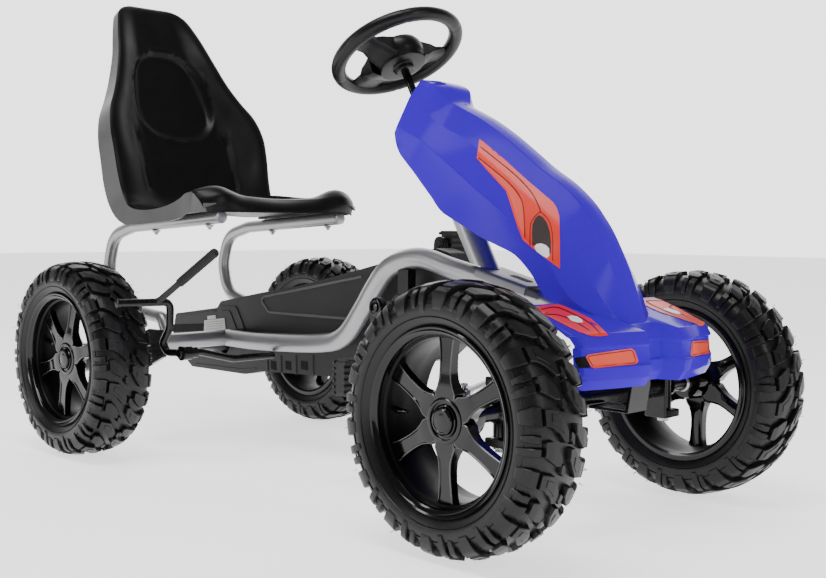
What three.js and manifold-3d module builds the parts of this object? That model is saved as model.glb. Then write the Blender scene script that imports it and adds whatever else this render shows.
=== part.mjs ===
// Pedal go kart. Millimetres, +X forward, +Y left, +Z up, floor at z = 0.
// Lengths below are measured from the front axle; FRONT_AXLE_X places that axle in the part frame.
import * as THREE from 'three';
import { mergeVertices } from 'three/addons/utils/BufferGeometryUtils.js';
import Module from 'manifold-3d';

// ---------- driving dimensions ----------
const FRONT_AXLE_X = 449.1;      // front axle ahead of the origin
const WHEELBASE = 849.3;
const TYRE_R = 160;              // pneumatic tyre, 320 mm outside diameter
const TYRE_W = 98;
const RIM_R = 108;               // rim flange, 8 inch class
const FRONT_TRACK = 484.9;
const REAR_TRACK = 519.3;
const AXLE_Z = TYRE_R;
const KINGPIN_Y = 170;
const COLUMN_TILT = 60.2;        // column slope from horizontal, degrees
const WHEEL_CENTRE = [-363.7, 0, 639.9]; // steering wheel centre
const STEER_R = 103.5;           // steering wheel outer radius
const PITMAN_R = 35;
const ARM_R = 66;
const CRANK = [-341, 262];       // crank axis x, z
const CRANK_R = 92;
const CHAIN_Y = 45;
const CHAINRING_PITCH_R = 64.7;  // 32 teeth
const SPROCKET_PITCH_R = 40.4;   // 20 teeth
const SPINE_R = 15.5;
const SEAT_TUBE_R = 11;
const SEAT_TUBE_Y = 125;
const SHELL_T = 3;               // seat moulding
const PANEL_T = 2.6;             // body panel moulding
const GAP = 0.3;

const wasm = await Module();
wasm.setup();
const V = (x, y, z) => new THREE.Vector3(x, y, z);
const RAD = Math.PI / 180;

// ---------- solid helpers ----------
function toManifold(geo) {
  const g = geo.clone();
  g.deleteAttribute('normal');
  g.deleteAttribute('uv');
  const m = mergeVertices(g, 1e-4);
  return new wasm.Manifold(new wasm.Mesh({
    numProp: 3,
    vertProperties: new Float32Array(m.attributes.position.array),
    triVerts: new Uint32Array(m.index.array),
  }));
}
function fromManifold(man) {
  const mesh = man.getMesh();
  const g = new THREE.BufferGeometry();
  const np = mesh.numProp;
  const pos = new Float32Array(mesh.vertProperties.length / np * 3);
  for (let i = 0; i < pos.length / 3; i++) {
    for (let k = 0; k < 3; k++) pos[i * 3 + k] = mesh.vertProperties[i * np + k];
  }
  g.setAttribute('position', new THREE.BufferAttribute(pos, 3));
  g.setIndex(new THREE.BufferAttribute(new Uint32Array(mesh.triVerts), 1));
  const n = g.toNonIndexed();
  n.computeVertexNormals();
  return n;
}
const union = (...gs) => fromManifold(gs.map(toManifold).reduce((a, b) => a.add(b)));
const cut = (g, ...ts) => fromManifold(ts.map(toManifold).reduce((a, b) => a.subtract(b), toManifold(g)));

function faces(rings, closedLoop) {
  // rings: arrays of Vector3 with one length; caps both ends unless closedLoop
  const n = rings[0].length, m = rings.length, pos = [];
  const tri = (a, b, c) => pos.push(a.x, a.y, a.z, b.x, b.y, b.z, c.x, c.y, c.z);
  const last = closedLoop ? m : m - 1;
  for (let i = 0; i < last; i++) {
    const A = rings[i], B = rings[(i + 1) % m];
    for (let j = 0; j < n; j++) {
      const k = (j + 1) % n;
      tri(A[j], B[j], B[k]);
      tri(A[j], B[k], A[k]);
    }
  }
  if (!closedLoop) {
    const mid = R => R.reduce((s, p) => s.add(p), V(0, 0, 0)).divideScalar(R.length);
    const c0 = mid(rings[0]), c1 = mid(rings[m - 1]);
    for (let j = 0; j < n; j++) {
      const k = (j + 1) % n;
      tri(c0, rings[0][j], rings[0][k]);
      tri(c1, rings[m - 1][k], rings[m - 1][j]);
    }
  }
  const g = new THREE.BufferGeometry();
  g.setAttribute('position', new THREE.BufferAttribute(new Float32Array(pos), 3));
  g.computeVertexNormals();
  return outward(g);
}
function outward(g) {
  const p = g.attributes.position;
  let vol = 0;
  const a = V(0, 0, 0), b = V(0, 0, 0), c = V(0, 0, 0);
  for (let i = 0; i < p.count; i += 3) {
    a.fromBufferAttribute(p, i); b.fromBufferAttribute(p, i + 1); c.fromBufferAttribute(p, i + 2);
    vol += a.dot(b.cross(c));
  }
  if (vol < 0) {
    const q = p.array;
    for (let i = 0; i < q.length; i += 9) {
      for (let k = 0; k < 3; k++) { const t = q[i + 3 + k]; q[i + 3 + k] = q[i + 6 + k]; q[i + 6 + k] = t; }
    }
    g.computeVertexNormals();
  }
  return g;
}
function fillet(points, radius, steps) {
  const out = [points[0].clone()];
  for (let i = 1; i < points.length - 1; i++) {
    const p = points[i], a = points[i - 1].clone().sub(p), b = points[i + 1].clone().sub(p);
    const la = a.length(), lb = b.length();
    a.normalize(); b.normalize();
    const r = Array.isArray(radius) ? radius[i - 1] : radius;
    const ang = Math.acos(THREE.MathUtils.clamp(a.dot(b), -1, 1));
    if (ang > Math.PI - 0.02 || r <= 0) { out.push(p.clone()); continue; }
    const d = Math.min(r / Math.tan(ang / 2), la * 0.49, lb * 0.49);
    const p0 = p.clone().addScaledVector(a, d), p1 = p.clone().addScaledVector(b, d);
    for (let s = 0; s <= steps; s++) {
      const t = s / steps;
      const q = p0.clone().multiplyScalar((1 - t) * (1 - t)).addScaledVector(p, 2 * t * (1 - t)).addScaledVector(p1, t * t);
      out.push(q);
    }
  }
  out.push(points[points.length - 1].clone());
  return out;
}
function sweep(path, r, sides = 12) {
  // round bar or tube along a polyline, closed ends
  const rings = [];
  let up = null;
  for (let i = 0; i < path.length; i++) {
    const t = V(0, 0, 0);
    if (i > 0) t.add(path[i].clone().sub(path[i - 1]).normalize());
    if (i < path.length - 1) t.add(path[i + 1].clone().sub(path[i]).normalize());
    t.normalize();
    if (!up) up = Math.abs(t.y) < 0.8 ? V(0, 1, 0) : V(0, 0, 1);
    const u = up.clone().addScaledVector(t, -up.dot(t)).normalize();
    const v = t.clone().cross(u);
    up = u;
    const ring = [];
    for (let j = 0; j < sides; j++) {
      const a = (j + 0.5) / sides * 2 * Math.PI;
      ring.push(path[i].clone().addScaledVector(u, r * Math.cos(a)).addScaledVector(v, r * Math.sin(a)));
    }
    rings.push(ring);
  }
  return faces(rings, false);
}
const rod = (a, b, r, sides = 16) => sweep([V(...a), V(...b)], r, sides);
function turned(profile, centre, axis, seg = 32) {
  // profile: [radius, along] pairs, closed on itself or on the axis
  const g = new THREE.LatheGeometry(profile.map(p => new THREE.Vector2(p[0], p[1])), seg);
  g.deleteAttribute('uv'); g.deleteAttribute('normal');
  const w = mergeVertices(g, 1e-4);
  // drop zero-area triangles on the axis
  const idx = w.index.array, keep = [], p = w.attributes.position;
  for (let i = 0; i < idx.length; i += 3) {
    if (idx[i] !== idx[i + 1] && idx[i + 1] !== idx[i + 2] && idx[i] !== idx[i + 2]) keep.push(idx[i], idx[i + 1], idx[i + 2]);
  }
  w.setIndex(keep);
  const n = w.toNonIndexed();
  const q = new THREE.Quaternion().setFromUnitVectors(V(0, 1, 0), V(...axis).normalize());
  n.applyQuaternion(q);
  n.translate(...centre);
  n.computeVertexNormals();
  return outward(n);
}
const ringOf = (ri, ro, h, c, axis, seg = 24) => turned([[ri, -h / 2], [ro, -h / 2], [ro, h / 2], [ri, h / 2], [ri, -h / 2]], c, axis, seg);
const disc = (r, h, c, axis, seg = 24) => turned([[0, -h / 2], [r, -h / 2], [r, h / 2], [0, h / 2]], c, axis, seg);
function box(lx, ly, lz, c) {
  const g = new THREE.BoxGeometry(lx, ly, lz);
  g.translate(...c);
  return g.toNonIndexed();
}
function plate(outline, y0, y1, holes = []) {
  // outline in x,z, extruded along y
  const s = new THREE.Shape(outline.map(p => new THREE.Vector2(p[0], p[1])));
  for (const h of holes) {
    const path = new THREE.Path();
    path.absarc(h[0], h[1], h[2], 0, 2 * Math.PI, true);
    s.holes.push(path);
  }
  const g = new THREE.ExtrudeGeometry(s, { depth: y1 - y0, bevelEnabled: false, curveSegments: 10 });
  g.rotateX(Math.PI / 2);
  g.translate(0, y1, 0);
  return outward(g.index ? g.toNonIndexed() : g);
}
function sheet(grid, t) {
  // grid[i][j] of Vector3 -> closed sheet of thickness t, thickened against the grid normal (negative t: along it)
  const m = grid.length, n = grid[0].length;
  const nor = grid.map((row, i) => row.map((p, j) => {
    const a = grid[Math.min(i + 1, m - 1)][j].clone().sub(grid[Math.max(i - 1, 0)][j]);
    const b = grid[i][Math.min(j + 1, n - 1)].clone().sub(grid[i][Math.max(j - 1, 0)]);
    return a.cross(b).normalize();
  }));
  const rings = [];
  for (let i = 0; i < m; i++) {
    const ring = [];
    for (let j = 0; j < n; j++) ring.push(grid[i][j].clone());
    for (let j = n - 1; j >= 0; j--) ring.push(grid[i][j].clone().addScaledVector(nor[i][j], -t));
    rings.push(ring);
  }
  // caps: strip between outer and inner rows
  const pos = [];
  const tri = (a, b, c) => pos.push(a.x, a.y, a.z, b.x, b.y, b.z, c.x, c.y, c.z);
  const L = 2 * n;
  for (let i = 0; i < m - 1; i++) for (let j = 0; j < L; j++) {
    const k = (j + 1) % L;
    tri(rings[i][j], rings[i + 1][j], rings[i + 1][k]);
    tri(rings[i][j], rings[i + 1][k], rings[i][k]);
  }
  for (const [R, flip] of [[rings[0], false], [rings[m - 1], true]]) {
    for (let j = 0; j < n - 1; j++) {
      const a = R[j], b = R[j + 1], c = R[L - 2 - j], d = R[L - 1 - j];
      if (!flip) { tri(a, b, c); tri(a, c, d); } else { tri(a, c, b); tri(a, d, c); }
    }
  }
  const g = new THREE.BufferGeometry();
  g.setAttribute('position', new THREE.BufferAttribute(new Float32Array(pos), 3));
  g.computeVertexNormals();
  return outward(g);
}

// ---------- assembly ----------
const group = new THREE.Group();
group.name = 'pedal_go_kart';
const FINISH = {
  silver: [0xb4b6b8, 0.35, 0.9], black: [0x161616, 0.45, 0.3], plastic: [0x1b1b1c, 0.5, 0.0],
  blue: [0x2410d8, 0.25, 0.0], tyre: [0x141414, 0.85, 0.0], gloss: [0x0e0e0f, 0.2, 0.1],
  steel: [0x8d9094, 0.4, 1.0], grey: [0x8c8c8c, 0.5, 0.6], rubber: [0x101010, 0.8, 0.0],
};
function add(name, geo, finish) {
  const [color, roughness, metalness] = FINISH[finish];
  const m = new THREE.Mesh(geo, new THREE.MeshStandardMaterial({ color, roughness, metalness }));
  geo.translate(FRONT_AXLE_X, 0, 0);
  m.name = name;
  group.add(m);
}

// steering column frame
const ct = Math.cos(COLUMN_TILT * RAD), st = Math.sin(COLUMN_TILT * RAD);
const AXD = V(ct, 0, -st);                     // down the column
const E1 = V(st, 0, ct);                       // forward and up, square to the column
const onCol = (t, a = 0, y = 0) => V(WHEEL_CENTRE[0], y, WHEEL_CENTRE[2]).addScaledVector(AXD, t).addScaledVector(E1, a);
const arr = v => [v.x, v.y, v.z];

// spine: one bent tube with a hump over the crank, sleeve hole for the column
const spinePts = [[-785.5, 181], [-704, 181], [-543, 190], [-483, 206], [-441, 249], [-411, 287], [-381, 316], [-342, 331],
  [-302, 333], [-251, 321], [-203, 310.5], [-118, 288], [-67, 277], [-30, 258], [-4, 225], [0, 175.2]].map(p => V(p[0], 0, p[1]));
const spine = cut(sweep(fillet(spinePts, 40, 1), SPINE_R, 10), rod(arr(onCol(330)), arr(onCol(440)), 9.5, 12));
add('main_spine_tube', spine, 'silver');

// front beam with kingpin forks
add('front_axle_beam', rod([0, -147.7, AXLE_Z], [0, 147.7, AXLE_Z], 14, 14), 'black');
for (const s of [-1, 1]) {
  const f = plate([[-16, 118], [18, 118], [18, 202], [-16, 202]], Math.min(s * 148, s * 184), Math.max(s * 148, s * 184));
  const slot = box(60, 40, 62, [0, s * (152 + 20), AXLE_Z]);
  add('kingpin_fork_' + (s < 0 ? 'R' : 'L'), cut(f, slot, rod([0, s * KINGPIN_Y, 100], [0, s * KINGPIN_Y, 220], 5.3, 16)), 'black');
}
// rear cross tube, bearing brackets
add('rear_cross_tube', rod([-800, -136.7, 181], [-800, 136.7, 181], 14, 14), 'silver');
for (const s of [-1, 1]) {
  const yA = s < 0 ? -145 : 137, yB = s < 0 ? -137 : 145;
  const p = plate([[-872, 136], [-850, 130], [-782, 158], [-782, 203], [-826, 203], [-872, 186]], yA, yB, [[-WHEELBASE, AXLE_Z, 8.6]]);
  add('axle_bracket_' + (s < 0 ? 'R' : 'L'), p, 'black');
}
// seat tubes: top rail, rear bend, lower leg onto the cross tube
for (const s of [-1, 1]) {
  const y = s * SEAT_TUBE_Y;
  const pts = [V(-640, y, 394), V(-905, y, 378), V(-972, y, 362), V(-991, y, 306), V(-976, y, 250), V(-900, y, 229), V(-815, y, 222), V(-800, y, 206)];
  const path = fillet(pts, [60, 50, 50, 50, 50, 14], 2);
  let tube = sweep(path, SEAT_TUBE_R, 10);
  tube = cut(tube, rod([-800, y - 40, 181], [-800, y + 40, 181], 14.4, 14), rod([-672, y, 340], [-672, y, 420], 3.4, 10), rod([-832, y, 340], [-832, y, 420], 3.4, 10));
  add('seat_tube_' + (s < 0 ? 'R' : 'L'), tube, 'silver');
}
// mast, gusset plate, bushes
const mastLo = 341, mastHi = 175;
add('column_bush_upper', ringOf(6.8, 14.1, 20, arr(onCol(mastHi + 12)), arr(AXD), 16), 'plastic');
add('column_bush_lower', ringOf(6.8, 14.1, 20, arr(onCol(mastLo - 12)), arr(AXD), 16), 'plastic');
{
  // gusset plate lies on the spine under the mast, whose foot is cut to stand on it
  const a = [-203, 310.5], b = [-67, 277];
  const dx = b[0] - a[0], dz = b[1] - a[1], L = Math.hypot(dx, dz), ux = dx / L, uz = dz / L;
  const off = SPINE_R + 0.6, P = (s, h) => [a[0] + ux * s - uz * (off + h), a[1] + uz * s + ux * (off + h)];
  let g = plate([P(4, 0), P(118, 0), P(118, 4), P(4, 4)], -29, 29);
  g = cut(g, rod(arr(onCol(300)), arr(onCol(420)), 9.5, 12));
  const below = plate([P(-70, -80), P(100, -80), P(100, 4 + GAP), P(-70, 4 + GAP)], -40, 40);
  const mast = cut(rod(arr(onCol(mastLo + 45)), arr(onCol(mastHi)), 18, 16), rod(arr(onCol(mastLo + 50)), arr(onCol(mastHi - 5)), 14.5, 16), below);
  add('steering_mast', mast, 'silver');
  const slotC = P(86, 2);
  g = cut(g, box(34, 9, 40, [slotC[0], 0, slotC[1]]));
  add('steering_gusset', g, 'grey');
}

// crank bracket under the spine hump, two bearing plates
{
  const out = [[CRANK[0] - 20, CRANK[1] - 20], [CRANK[0] + 20, CRANK[1] - 20], [CRANK[0] + 20, CRANK[1] + 52.2], [CRANK[0] - 20, CRANK[1] + 52.2]];
  const shell = rod([CRANK[0], -18, CRANK[1]], [CRANK[0], 18, CRANK[1]], 17, 18);
  const web = box(22, 16, 46, [CRANK[0], 0, CRANK[1] + 30]);
  let g = cut(union(shell, web), rod([CRANK[0], -30, CRANK[1]], [CRANK[0], 30, CRANK[1]], 9.4, 16));
  g = cut(g, sweep(fillet(spinePts, 40, 1), SPINE_R + GAP, 10));
  add('bottom_bracket', g, 'silver');
}

// chain guard halves
const guardOutline = [[-1016, 160], [-986, 133], [-955, 113], [-786, 114], [-735, 124], [-513, 134], [-420, 152], [-372, 170], [-341, 173],
  [-300, 182], [-268, 208], [-251, 245], [-251, 285], [-264, 318], [-282, 342], [-308, 348], [-420, 324], [-483, 310], [-630, 279], [-736, 263], [-818, 249], [-861, 241.5], [-872, 229], [-1010, 211], [-1019, 176]];
function guardHalf(y0, y1) {
  const inset = guardOutline.map(p => V(p[0], 0, p[1]));
  const outer = plate(guardOutline, y0, y1, [[-WHEELBASE, AXLE_Z, 14], [CRANK[0], CRANK[1], 14], [-800, 181, 14.6]]);
  // hollow: pocket toward the other half
  const n = inset.length, pk = [];
  for (let i = 0; i < n; i++) {
    const a = inset[(i + n - 1) % n], p = inset[i], b = inset[(i + 1) % n];
    const t1 = p.clone().sub(a).normalize(), t2 = b.clone().sub(p).normalize();
    const t = t1.add(t2).normalize();
    pk.push([p.x - t.z * 2.5, p.z + t.x * 2.5]);
  }
  return { outer, pk };
}
{
  const R = guardHalf(28, 46.85), L = guardHalf(47.15, 64);
  add('chain_guard_inner', cut(R.outer, plate(R.pk, 30.4, 60)), 'plastic');
  add('chain_guard_outer', cut(L.outer, plate(L.pk, 30, 61.6)), 'plastic');
}
// chain loop
{
  const A = [-WHEELBASE, AXLE_Z], B = CRANK, rA = SPROCKET_PITCH_R, rB = CHAINRING_PITCH_R;
  const loop = (ra, rb) => {
    const dx = B[0] - A[0], dz = B[1] - A[1], d = Math.hypot(dx, dz), base = Math.atan2(dz, dx);
    const al = Math.acos((ra - rb) / d);
    const pts = [];
    for (let i = 0; i <= 10; i++) { const a = base + al + (2 * Math.PI - 2 * al) * i / 10; pts.push([A[0] + ra * Math.cos(a), A[1] + ra * Math.sin(a)]); }
    for (let i = 0; i <= 12; i++) { const a = base - al + 2 * al * i / 12; pts.push([B[0] + rb * Math.cos(a), B[1] + rb * Math.sin(a)]); }
    return pts;
  };
  add('drive_chain', cut(plate(loop(rA + 3.5, rB + 3.5), CHAIN_Y - 4, CHAIN_Y + 4), plate(loop(rA - 3.5, rB - 3.5), CHAIN_Y - 10, CHAIN_Y + 10)), 'steel');
}

// seat shell with pads on its rails
const railTop = x => 405.2 + (x + 640) * 0.06;
{
  // station: x, z of the middle, direction along the seat, half width, side rise, skirt depth
  const S = [
    [-628, 403, 0, 1, 158, 0, 4], [-630, 426, -0.25, 1, 162, 6, 8], [-652, 431, -1, 0, 164, 10, 40], [-704, 422, -1, -0.1, 163, 5, 34],
    [-770, 408, -1, -0.1, 163, 5, 26], [-830, 402, -1, 0, 162, 8, 28], [-874, 408, -0.9, 0.4, 161, 14, 40], [-896, 430, -0.5, 0.85, 161, 16, 50],
    [-910, 464, -0.42, 0.91, 163, 20, 52], [-925, 502, -0.415, 0.91, 165, 28, 50], [-941, 537, -0.415, 0.91, 165, 33, 47], [-957, 574, -0.415, 0.91, 157, 33, 42],
    [-972, 609, -0.415, 0.91, 136, 27, 38], [-987, 645, -0.415, 0.91, 117, 22, 32], [-1006, 690, -0.415, 0.91, 103, 18, 24], [-1028, 742, -0.415, 0.91, 87, 11, 20],
    [-1042, 774, -0.42, 0.91, 74, 4, 16], [-1050, 794.1, -0.5, 0.8, 54, 2, 10.4],
  ];
  const U = [[-1, 1], [-0.985, 2], [-0.93, 3], [-0.78, 4], [-0.5, 5], [0, 6], [0.5, 5], [0.78, 4], [0.93, 3], [0.985, 2], [1, 1]];
  const grid = S.map(([x, z, tx, tz, w, rise, skirt]) => {
    const L = Math.hypot(tx, tz), nx = tz / L, nz = -tx / L;
    return U.map(([u, k]) => {
      const h = k === 1 ? rise - skirt : k === 2 ? rise - 3 : k === 3 ? rise : k === 4 ? rise * 0.55 : k === 5 ? rise * 0.08 : 0;
      return V(x + nx * h, u * w, z + nz * h);
    });
  });
  const top = [[-645, 429.5], [-700, 421.6], [-770, 407.6], [-830, 402], [-862, 405]];
  const padOutline = [...top, [-862, railTop(-862) + GAP], [-645, railTop(-645) + GAP]];
  add('seat_shell', union(sheet(grid, -SHELL_T), plate(padOutline, -137, -113), plate(padOutline, 113, 137)), 'plastic');
  for (const s of [-1, 1]) for (const [tag, bx] of [['front', -672], ['rear', -832]]) {
    const zt = railTop(bx);
    add(`seat_bolt_${tag}_${s < 0 ? 'R' : 'L'}`, union(rod([bx, s * SEAT_TUBE_Y, zt - 27], [bx, s * SEAT_TUBE_Y, zt - 0.5], 3, 8), rod([bx, s * SEAT_TUBE_Y, zt - 28], [bx, s * SEAT_TUBE_Y, zt - 23], 6, 6)), 'steel');
  }
}

// front body moulding: cowl and bumper in one piece
{
  const S = [ // ridge x, z; lower edge x, z; half width
    [-330, 592, -300, 516, 60], [-290, 587, -268, 486, 67], [-240, 568, -236, 448, 73], [-176, 526, -196, 402, 78], [-118, 487, -150, 376, 80],
    [-77, 458, -110, 361, 82], [-38, 433, -64, 343, 83], [-12, 411, -40, 324, 83], [17, 374, -10, 302, 80], [43, 327, 16, 290, 72], [62, 290, 45, 274, 50], [84, 259, 82, 257, 22],
  ];
  const U = [[-1, 1], [-0.95, 0.6], [-0.72, 0.25], [-0.2, 0], [0, 0], [0.2, 0], [0.72, 0.25], [0.95, 0.6], [1, 1]];
  const grid = S.map(([x, z, ex, ez, w]) => U.map(([u, f]) => V(x + (ex - x) * f, u * w, z + (ez - z) * f)));
  const cowl = sheet(grid, PANEL_T);
  const Y = [[-141, 84], [-134, 93], [-100, 103], [-56, 113], [-34, 115], [-24, 92], [0, 88], [24, 92], [34, 115], [56, 113], [100, 103], [134, 93], [141, 84]];
  const bump = Y.map(([y, xf]) => {
    const k = Math.abs(y) > 138 ? 3 : 0;
    const rec = Math.abs(y) < 30;
    return [V(6 + k * 3, y, 287 - k), V(46, y, 273 - k), rec ? V(xf - 8, y, 257) : V(xf - 14, y, 256 - k), V(xf, y, 243 - k), V(xf + 3, y, 216), V(xf - 5, y, 190 + k)];
  });
  const bumper = sheet(bump, -PANEL_T);
  add('front_cowl', cut(union(cowl, bumper), rod(arr(onCol(0)), arr(onCol(90)), 9, 14)), 'blue');
}
add('cowl_bracket', plate([[14.6, 150], [74, 150], [80, 184], [80, 232], [76, 232], [76, 186], [70, 154], [14.6, 154]], -20, 20), 'black');

// ---------- wheels ----------
function wheel(tag, centre, side, bore, tyreFinish) {
  // side: -1 right, +1 left; along = outward
  const ax = [0, side, 0];
  const tyre = turned([[104.4, -38], [111, -39], [128, -TYRE_W / 2], [148, -45.5], [TYRE_R, -26], [TYRE_R, 26], [148, 45.5], [128, TYRE_W / 2], [111, 39], [104.4, 38], [104.4, -38]], centre, ax, 26);
  add('tyre_' + tag, tyre, 'tyre');
  const barrel = turned([[97, -42], [RIM_R, -42], [RIM_R, -39.2], [103.9, -38.2], [103.9, 38.2], [RIM_R, 39.2], [RIM_R, 42], [97, 42], [97, -42]], centre, ax, 26);
  const hub = turned([[12, -20], [24, -16], [26, 24], [20, 27.5], [12, 27.5], [12, -20]], centre, ax, 12);
  const spokes = [];
  for (let i = 0; i < 6; i++) {
    const a = i * Math.PI / 3 + Math.PI / 2;
    const b = box(82, 9, 25, [59, 0, 0]);
    b.rotateY(-a);
    b.translate(centre[0], centre[1] + side * 21, centre[2]);
    spokes.push(b);
  }
  const solid = union(barrel, hub, ...spokes);
  const core = turned([[bore, -24], [12.5, -19], [12.5, 27.5], [bore, 27.5], [bore, -24]], centre, ax, 12);
  add('rim_' + tag, union(solid, core), 'gloss');
  add('hub_cap_' + tag, disc(16, 4.7, [centre[0], centre[1] + side * 30.4, centre[2]], ax, 20), 'gloss');
}
wheel('FR', [0, -FRONT_TRACK / 2, AXLE_Z], -1, 6.4);
wheel('FL', [0, FRONT_TRACK / 2, AXLE_Z], 1, 6.4);
wheel('RR', [-WHEELBASE, -REAR_TRACK / 2, AXLE_Z], -1, 8.3);
wheel('RL', [-WHEELBASE, REAR_TRACK / 2, AXLE_Z], 1, 8.3);
add('rear_axle', rod([-WHEELBASE, -REAR_TRACK / 2 - 26, AXLE_Z], [-WHEELBASE, REAR_TRACK / 2 + 26, AXLE_Z], 8, 16), 'steel');
add('rear_sprocket', ringOf(8.3, SPROCKET_PITCH_R - 4.4, 4, [-WHEELBASE, CHAIN_Y, AXLE_Z], [0, 1, 0], 20), 'steel');

// ---------- steering ----------
for (const s of [-1, 1]) {
  const n = s < 0 ? 'R' : 'L', y = s * KINGPIN_Y;
  add('kingpin_' + n, union(rod([0, y, 113], [0, y, 207], 5, 12), rod([0, y, 202.3], [0, y, 208], 9, 6), rod([0, y, 112], [0, y, 117.7], 9, 6)), 'steel');
  const sleeve = ringOf(5.5, 11, 61.2, [0, y, AXLE_Z], [0, 0, 1], 16);
  const stub = rod([0, y + s * 8.5, AXLE_Z], [0, s * (FRONT_TRACK / 2 + 26), AXLE_Z], 6, 12);
  const collar = rod([0, y + s * 8.5, AXLE_Z], [0, s * (FRONT_TRACK / 2 - 24.5), AXLE_Z], 10, 12);
  const armB = box(60, 14, 8, [-38, s * 168, AXLE_Z]);
  const armEnd = disc(9, 8, [-ARM_R, s * 166, AXLE_Z], [0, 0, 1], 14);
  const stud = rod([-ARM_R, s * 166, AXLE_Z], [-ARM_R, s * 166, AXLE_Z + 27], 3, 10);
  add('steering_knuckle_' + n, union(sleeve, stub, collar, armB, armEnd, stud), 'black');
  // tie rod: inner eyes one below the other on the pitman arm's pin, outer eye round the stud with clearance
  const pin = onCol(s < 0 ? 512 : 521.7, -PITMAN_R);
  const o = V(-ARM_R - 1.8, s * 166, 175);
  const eyeI = disc(8, 6, arr(pin), arr(AXD), 14), eyeO = disc(9.5, 8, arr(o), [0, 0, 1], 14);
  const bar = rod(arr(pin), arr(o), 4.2, 10);
  add('tie_rod_' + n, cut(union(eyeI, eyeO, bar), rod(arr(onCol(500, -PITMAN_R)), arr(onCol(532, -PITMAN_R)), 3.4, 12), rod([o.x, o.y, 160], [o.x, o.y, 190], 6, 14)), 'steel');
}
add('steering_column', rod(arr(onCol(20)), arr(onCol(500.7)), 6.3, 14), 'gloss');
{
  const c = onCol(504.8);
  const g = new THREE.BoxGeometry(PITMAN_R, 24, 7.4);
  g.applyMatrix4(new THREE.Matrix4().makeBasis(E1, V(0, 1, 0), AXD.clone().negate()).setPosition(onCol(504.8, -PITMAN_R / 2)));
  const pin = rod(arr(onCol(504, -PITMAN_R)), arr(onCol(526.5, -PITMAN_R)), 3, 10);
  add('pitman_arm', union(g.toNonIndexed(), disc(18, 7.4, arr(c), arr(AXD), 18), disc(12, 7.4, arr(onCol(504.8, -PITMAN_R)), arr(AXD), 16), pin), 'steel');
}
{
  const prof = [];
  for (let i = 0; i <= 8; i++) { const a = i / 8 * 2 * Math.PI; prof.push([STEER_R - 13 + 13 * Math.cos(a), 11.5 * Math.sin(a)]); }
  const up = arr(AXD.clone().negate());
  const rim = turned(prof, WHEEL_CENTRE, up, 24);
  const hub = turned([[6.6, -34], [16, -34], [30, -6], [30, 8], [22, 14], [0, 15], [0, -19], [6.6, -19], [6.6, -34]], WHEEL_CENTRE, up, 20);
  const spokes = [0, 180, 270].map(a => {
    const g = new THREE.BoxGeometry(62, 30, 9);
    g.translate(53, 0, 0);
    g.rotateZ(a * RAD);
    g.applyMatrix4(new THREE.Matrix4().makeBasis(V(0, -1, 0), E1, V(...up)).setPosition(V(...WHEEL_CENTRE)));
    return g.toNonIndexed();
  });
  add('steering_wheel', union(rim, hub, ...spokes), 'gloss');
}

// ---------- crank and pedals ----------
{
  const [cx, cz] = CRANK;
  add('crank_shaft', rod([cx, -61.5, cz], [cx, 77.5, cz], 8, 16), 'steel');
  add('chainring', ringOf(8.3, CHAINRING_PITCH_R - 4.4, 4, [cx, CHAIN_Y, cz], [0, 1, 0], 28), 'steel');
  for (const [n, y0, y1, dz, p0, p1] of [['R', -62, -53, -CRANK_R, -66, -134], ['L', 68.5, 77.5, CRANK_R, 81.5, 149.5]]) {
    const yc = (y0 + y1) / 2, h = y1 - y0, s = Math.sign(p1);
    const arm = union(disc(15, h, [cx, yc, cz], [0, 1, 0], 20), box(18, h, CRANK_R, [cx, yc, cz + dz / 2]), disc(12, h, [cx, yc, cz + dz], [0, 1, 0], 18),
      rod([cx, yc, cz + dz], [cx, p1 - s * 6, cz + dz], 5, 12));
    add('crank_arm_' + n, cut(arm, rod([cx, -100, cz], [cx, 100, cz], 8.3, 16)), 'black');
    const body = box(28, Math.abs(p1 - p0), 52, [cx, (p0 + p1) / 2, cz + dz - 6]);
    add('pedal_' + n, cut(body, rod([cx, p0 - s * 10, cz + dz], [cx, p1 - s * 5, cz + dz], 5.5, 14)), 'plastic');
  }
}

// ---------- hand brake ----------
add('brake_pivot_rod', union(sweep(fillet([[-660, -190, 177], [-660, -152, 177], [-660, -88, 161.3], [-660, -6, 161.3]].map(p => V(...p)), [14, 14], 2), 6, 12), rod([-660, -187, 177], [-660, -193, 177], 10, 6), rod([-660, -160, 177], [-660, -168.5, 177], 9, 14)), 'black');
{
  const boss = ringOf(6.4, 11, 16, [-660, -177.5, 177], [0, 1, 0], 16);
  // one bent bar from the boss up to the cross bar over the tyre, and the handle welded to it
  const bent = sweep(fillet([[-666, -178, 177], [-702, -186, 175], [-711, -190, 190], [-694, -187, 214], [-690.5, -188, 257.5], [-688, -284, 259]].map(p => V(...p)), [8, 8, 20, 12], 2), 6.2, 8);
  const foot = V(-689.4, -212.4, 258), tip = V(-576, -182, 338), d = tip.clone().sub(foot).normalize();
  const handle = rod(arr(foot), arr(tip), 5, 10);
  add('brake_lever', cut(union(boss, bent, handle), rod([-660, -160, 177], [-660, -200, 177], 6.4, 16)), 'black');
  add('brake_grip', ringOf(5.3, 7, 84, arr(tip.clone().addScaledVector(d, -44)), arr(d), 16), 'rubber');
}
export default group;
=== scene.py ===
import math
import random

import bmesh
import bpy
import numpy as np
from mathutils import Matrix, Vector
from mathutils.bvhtree import BVHTree
from mathutils.geometry import delaunay_2d_cdt


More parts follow.
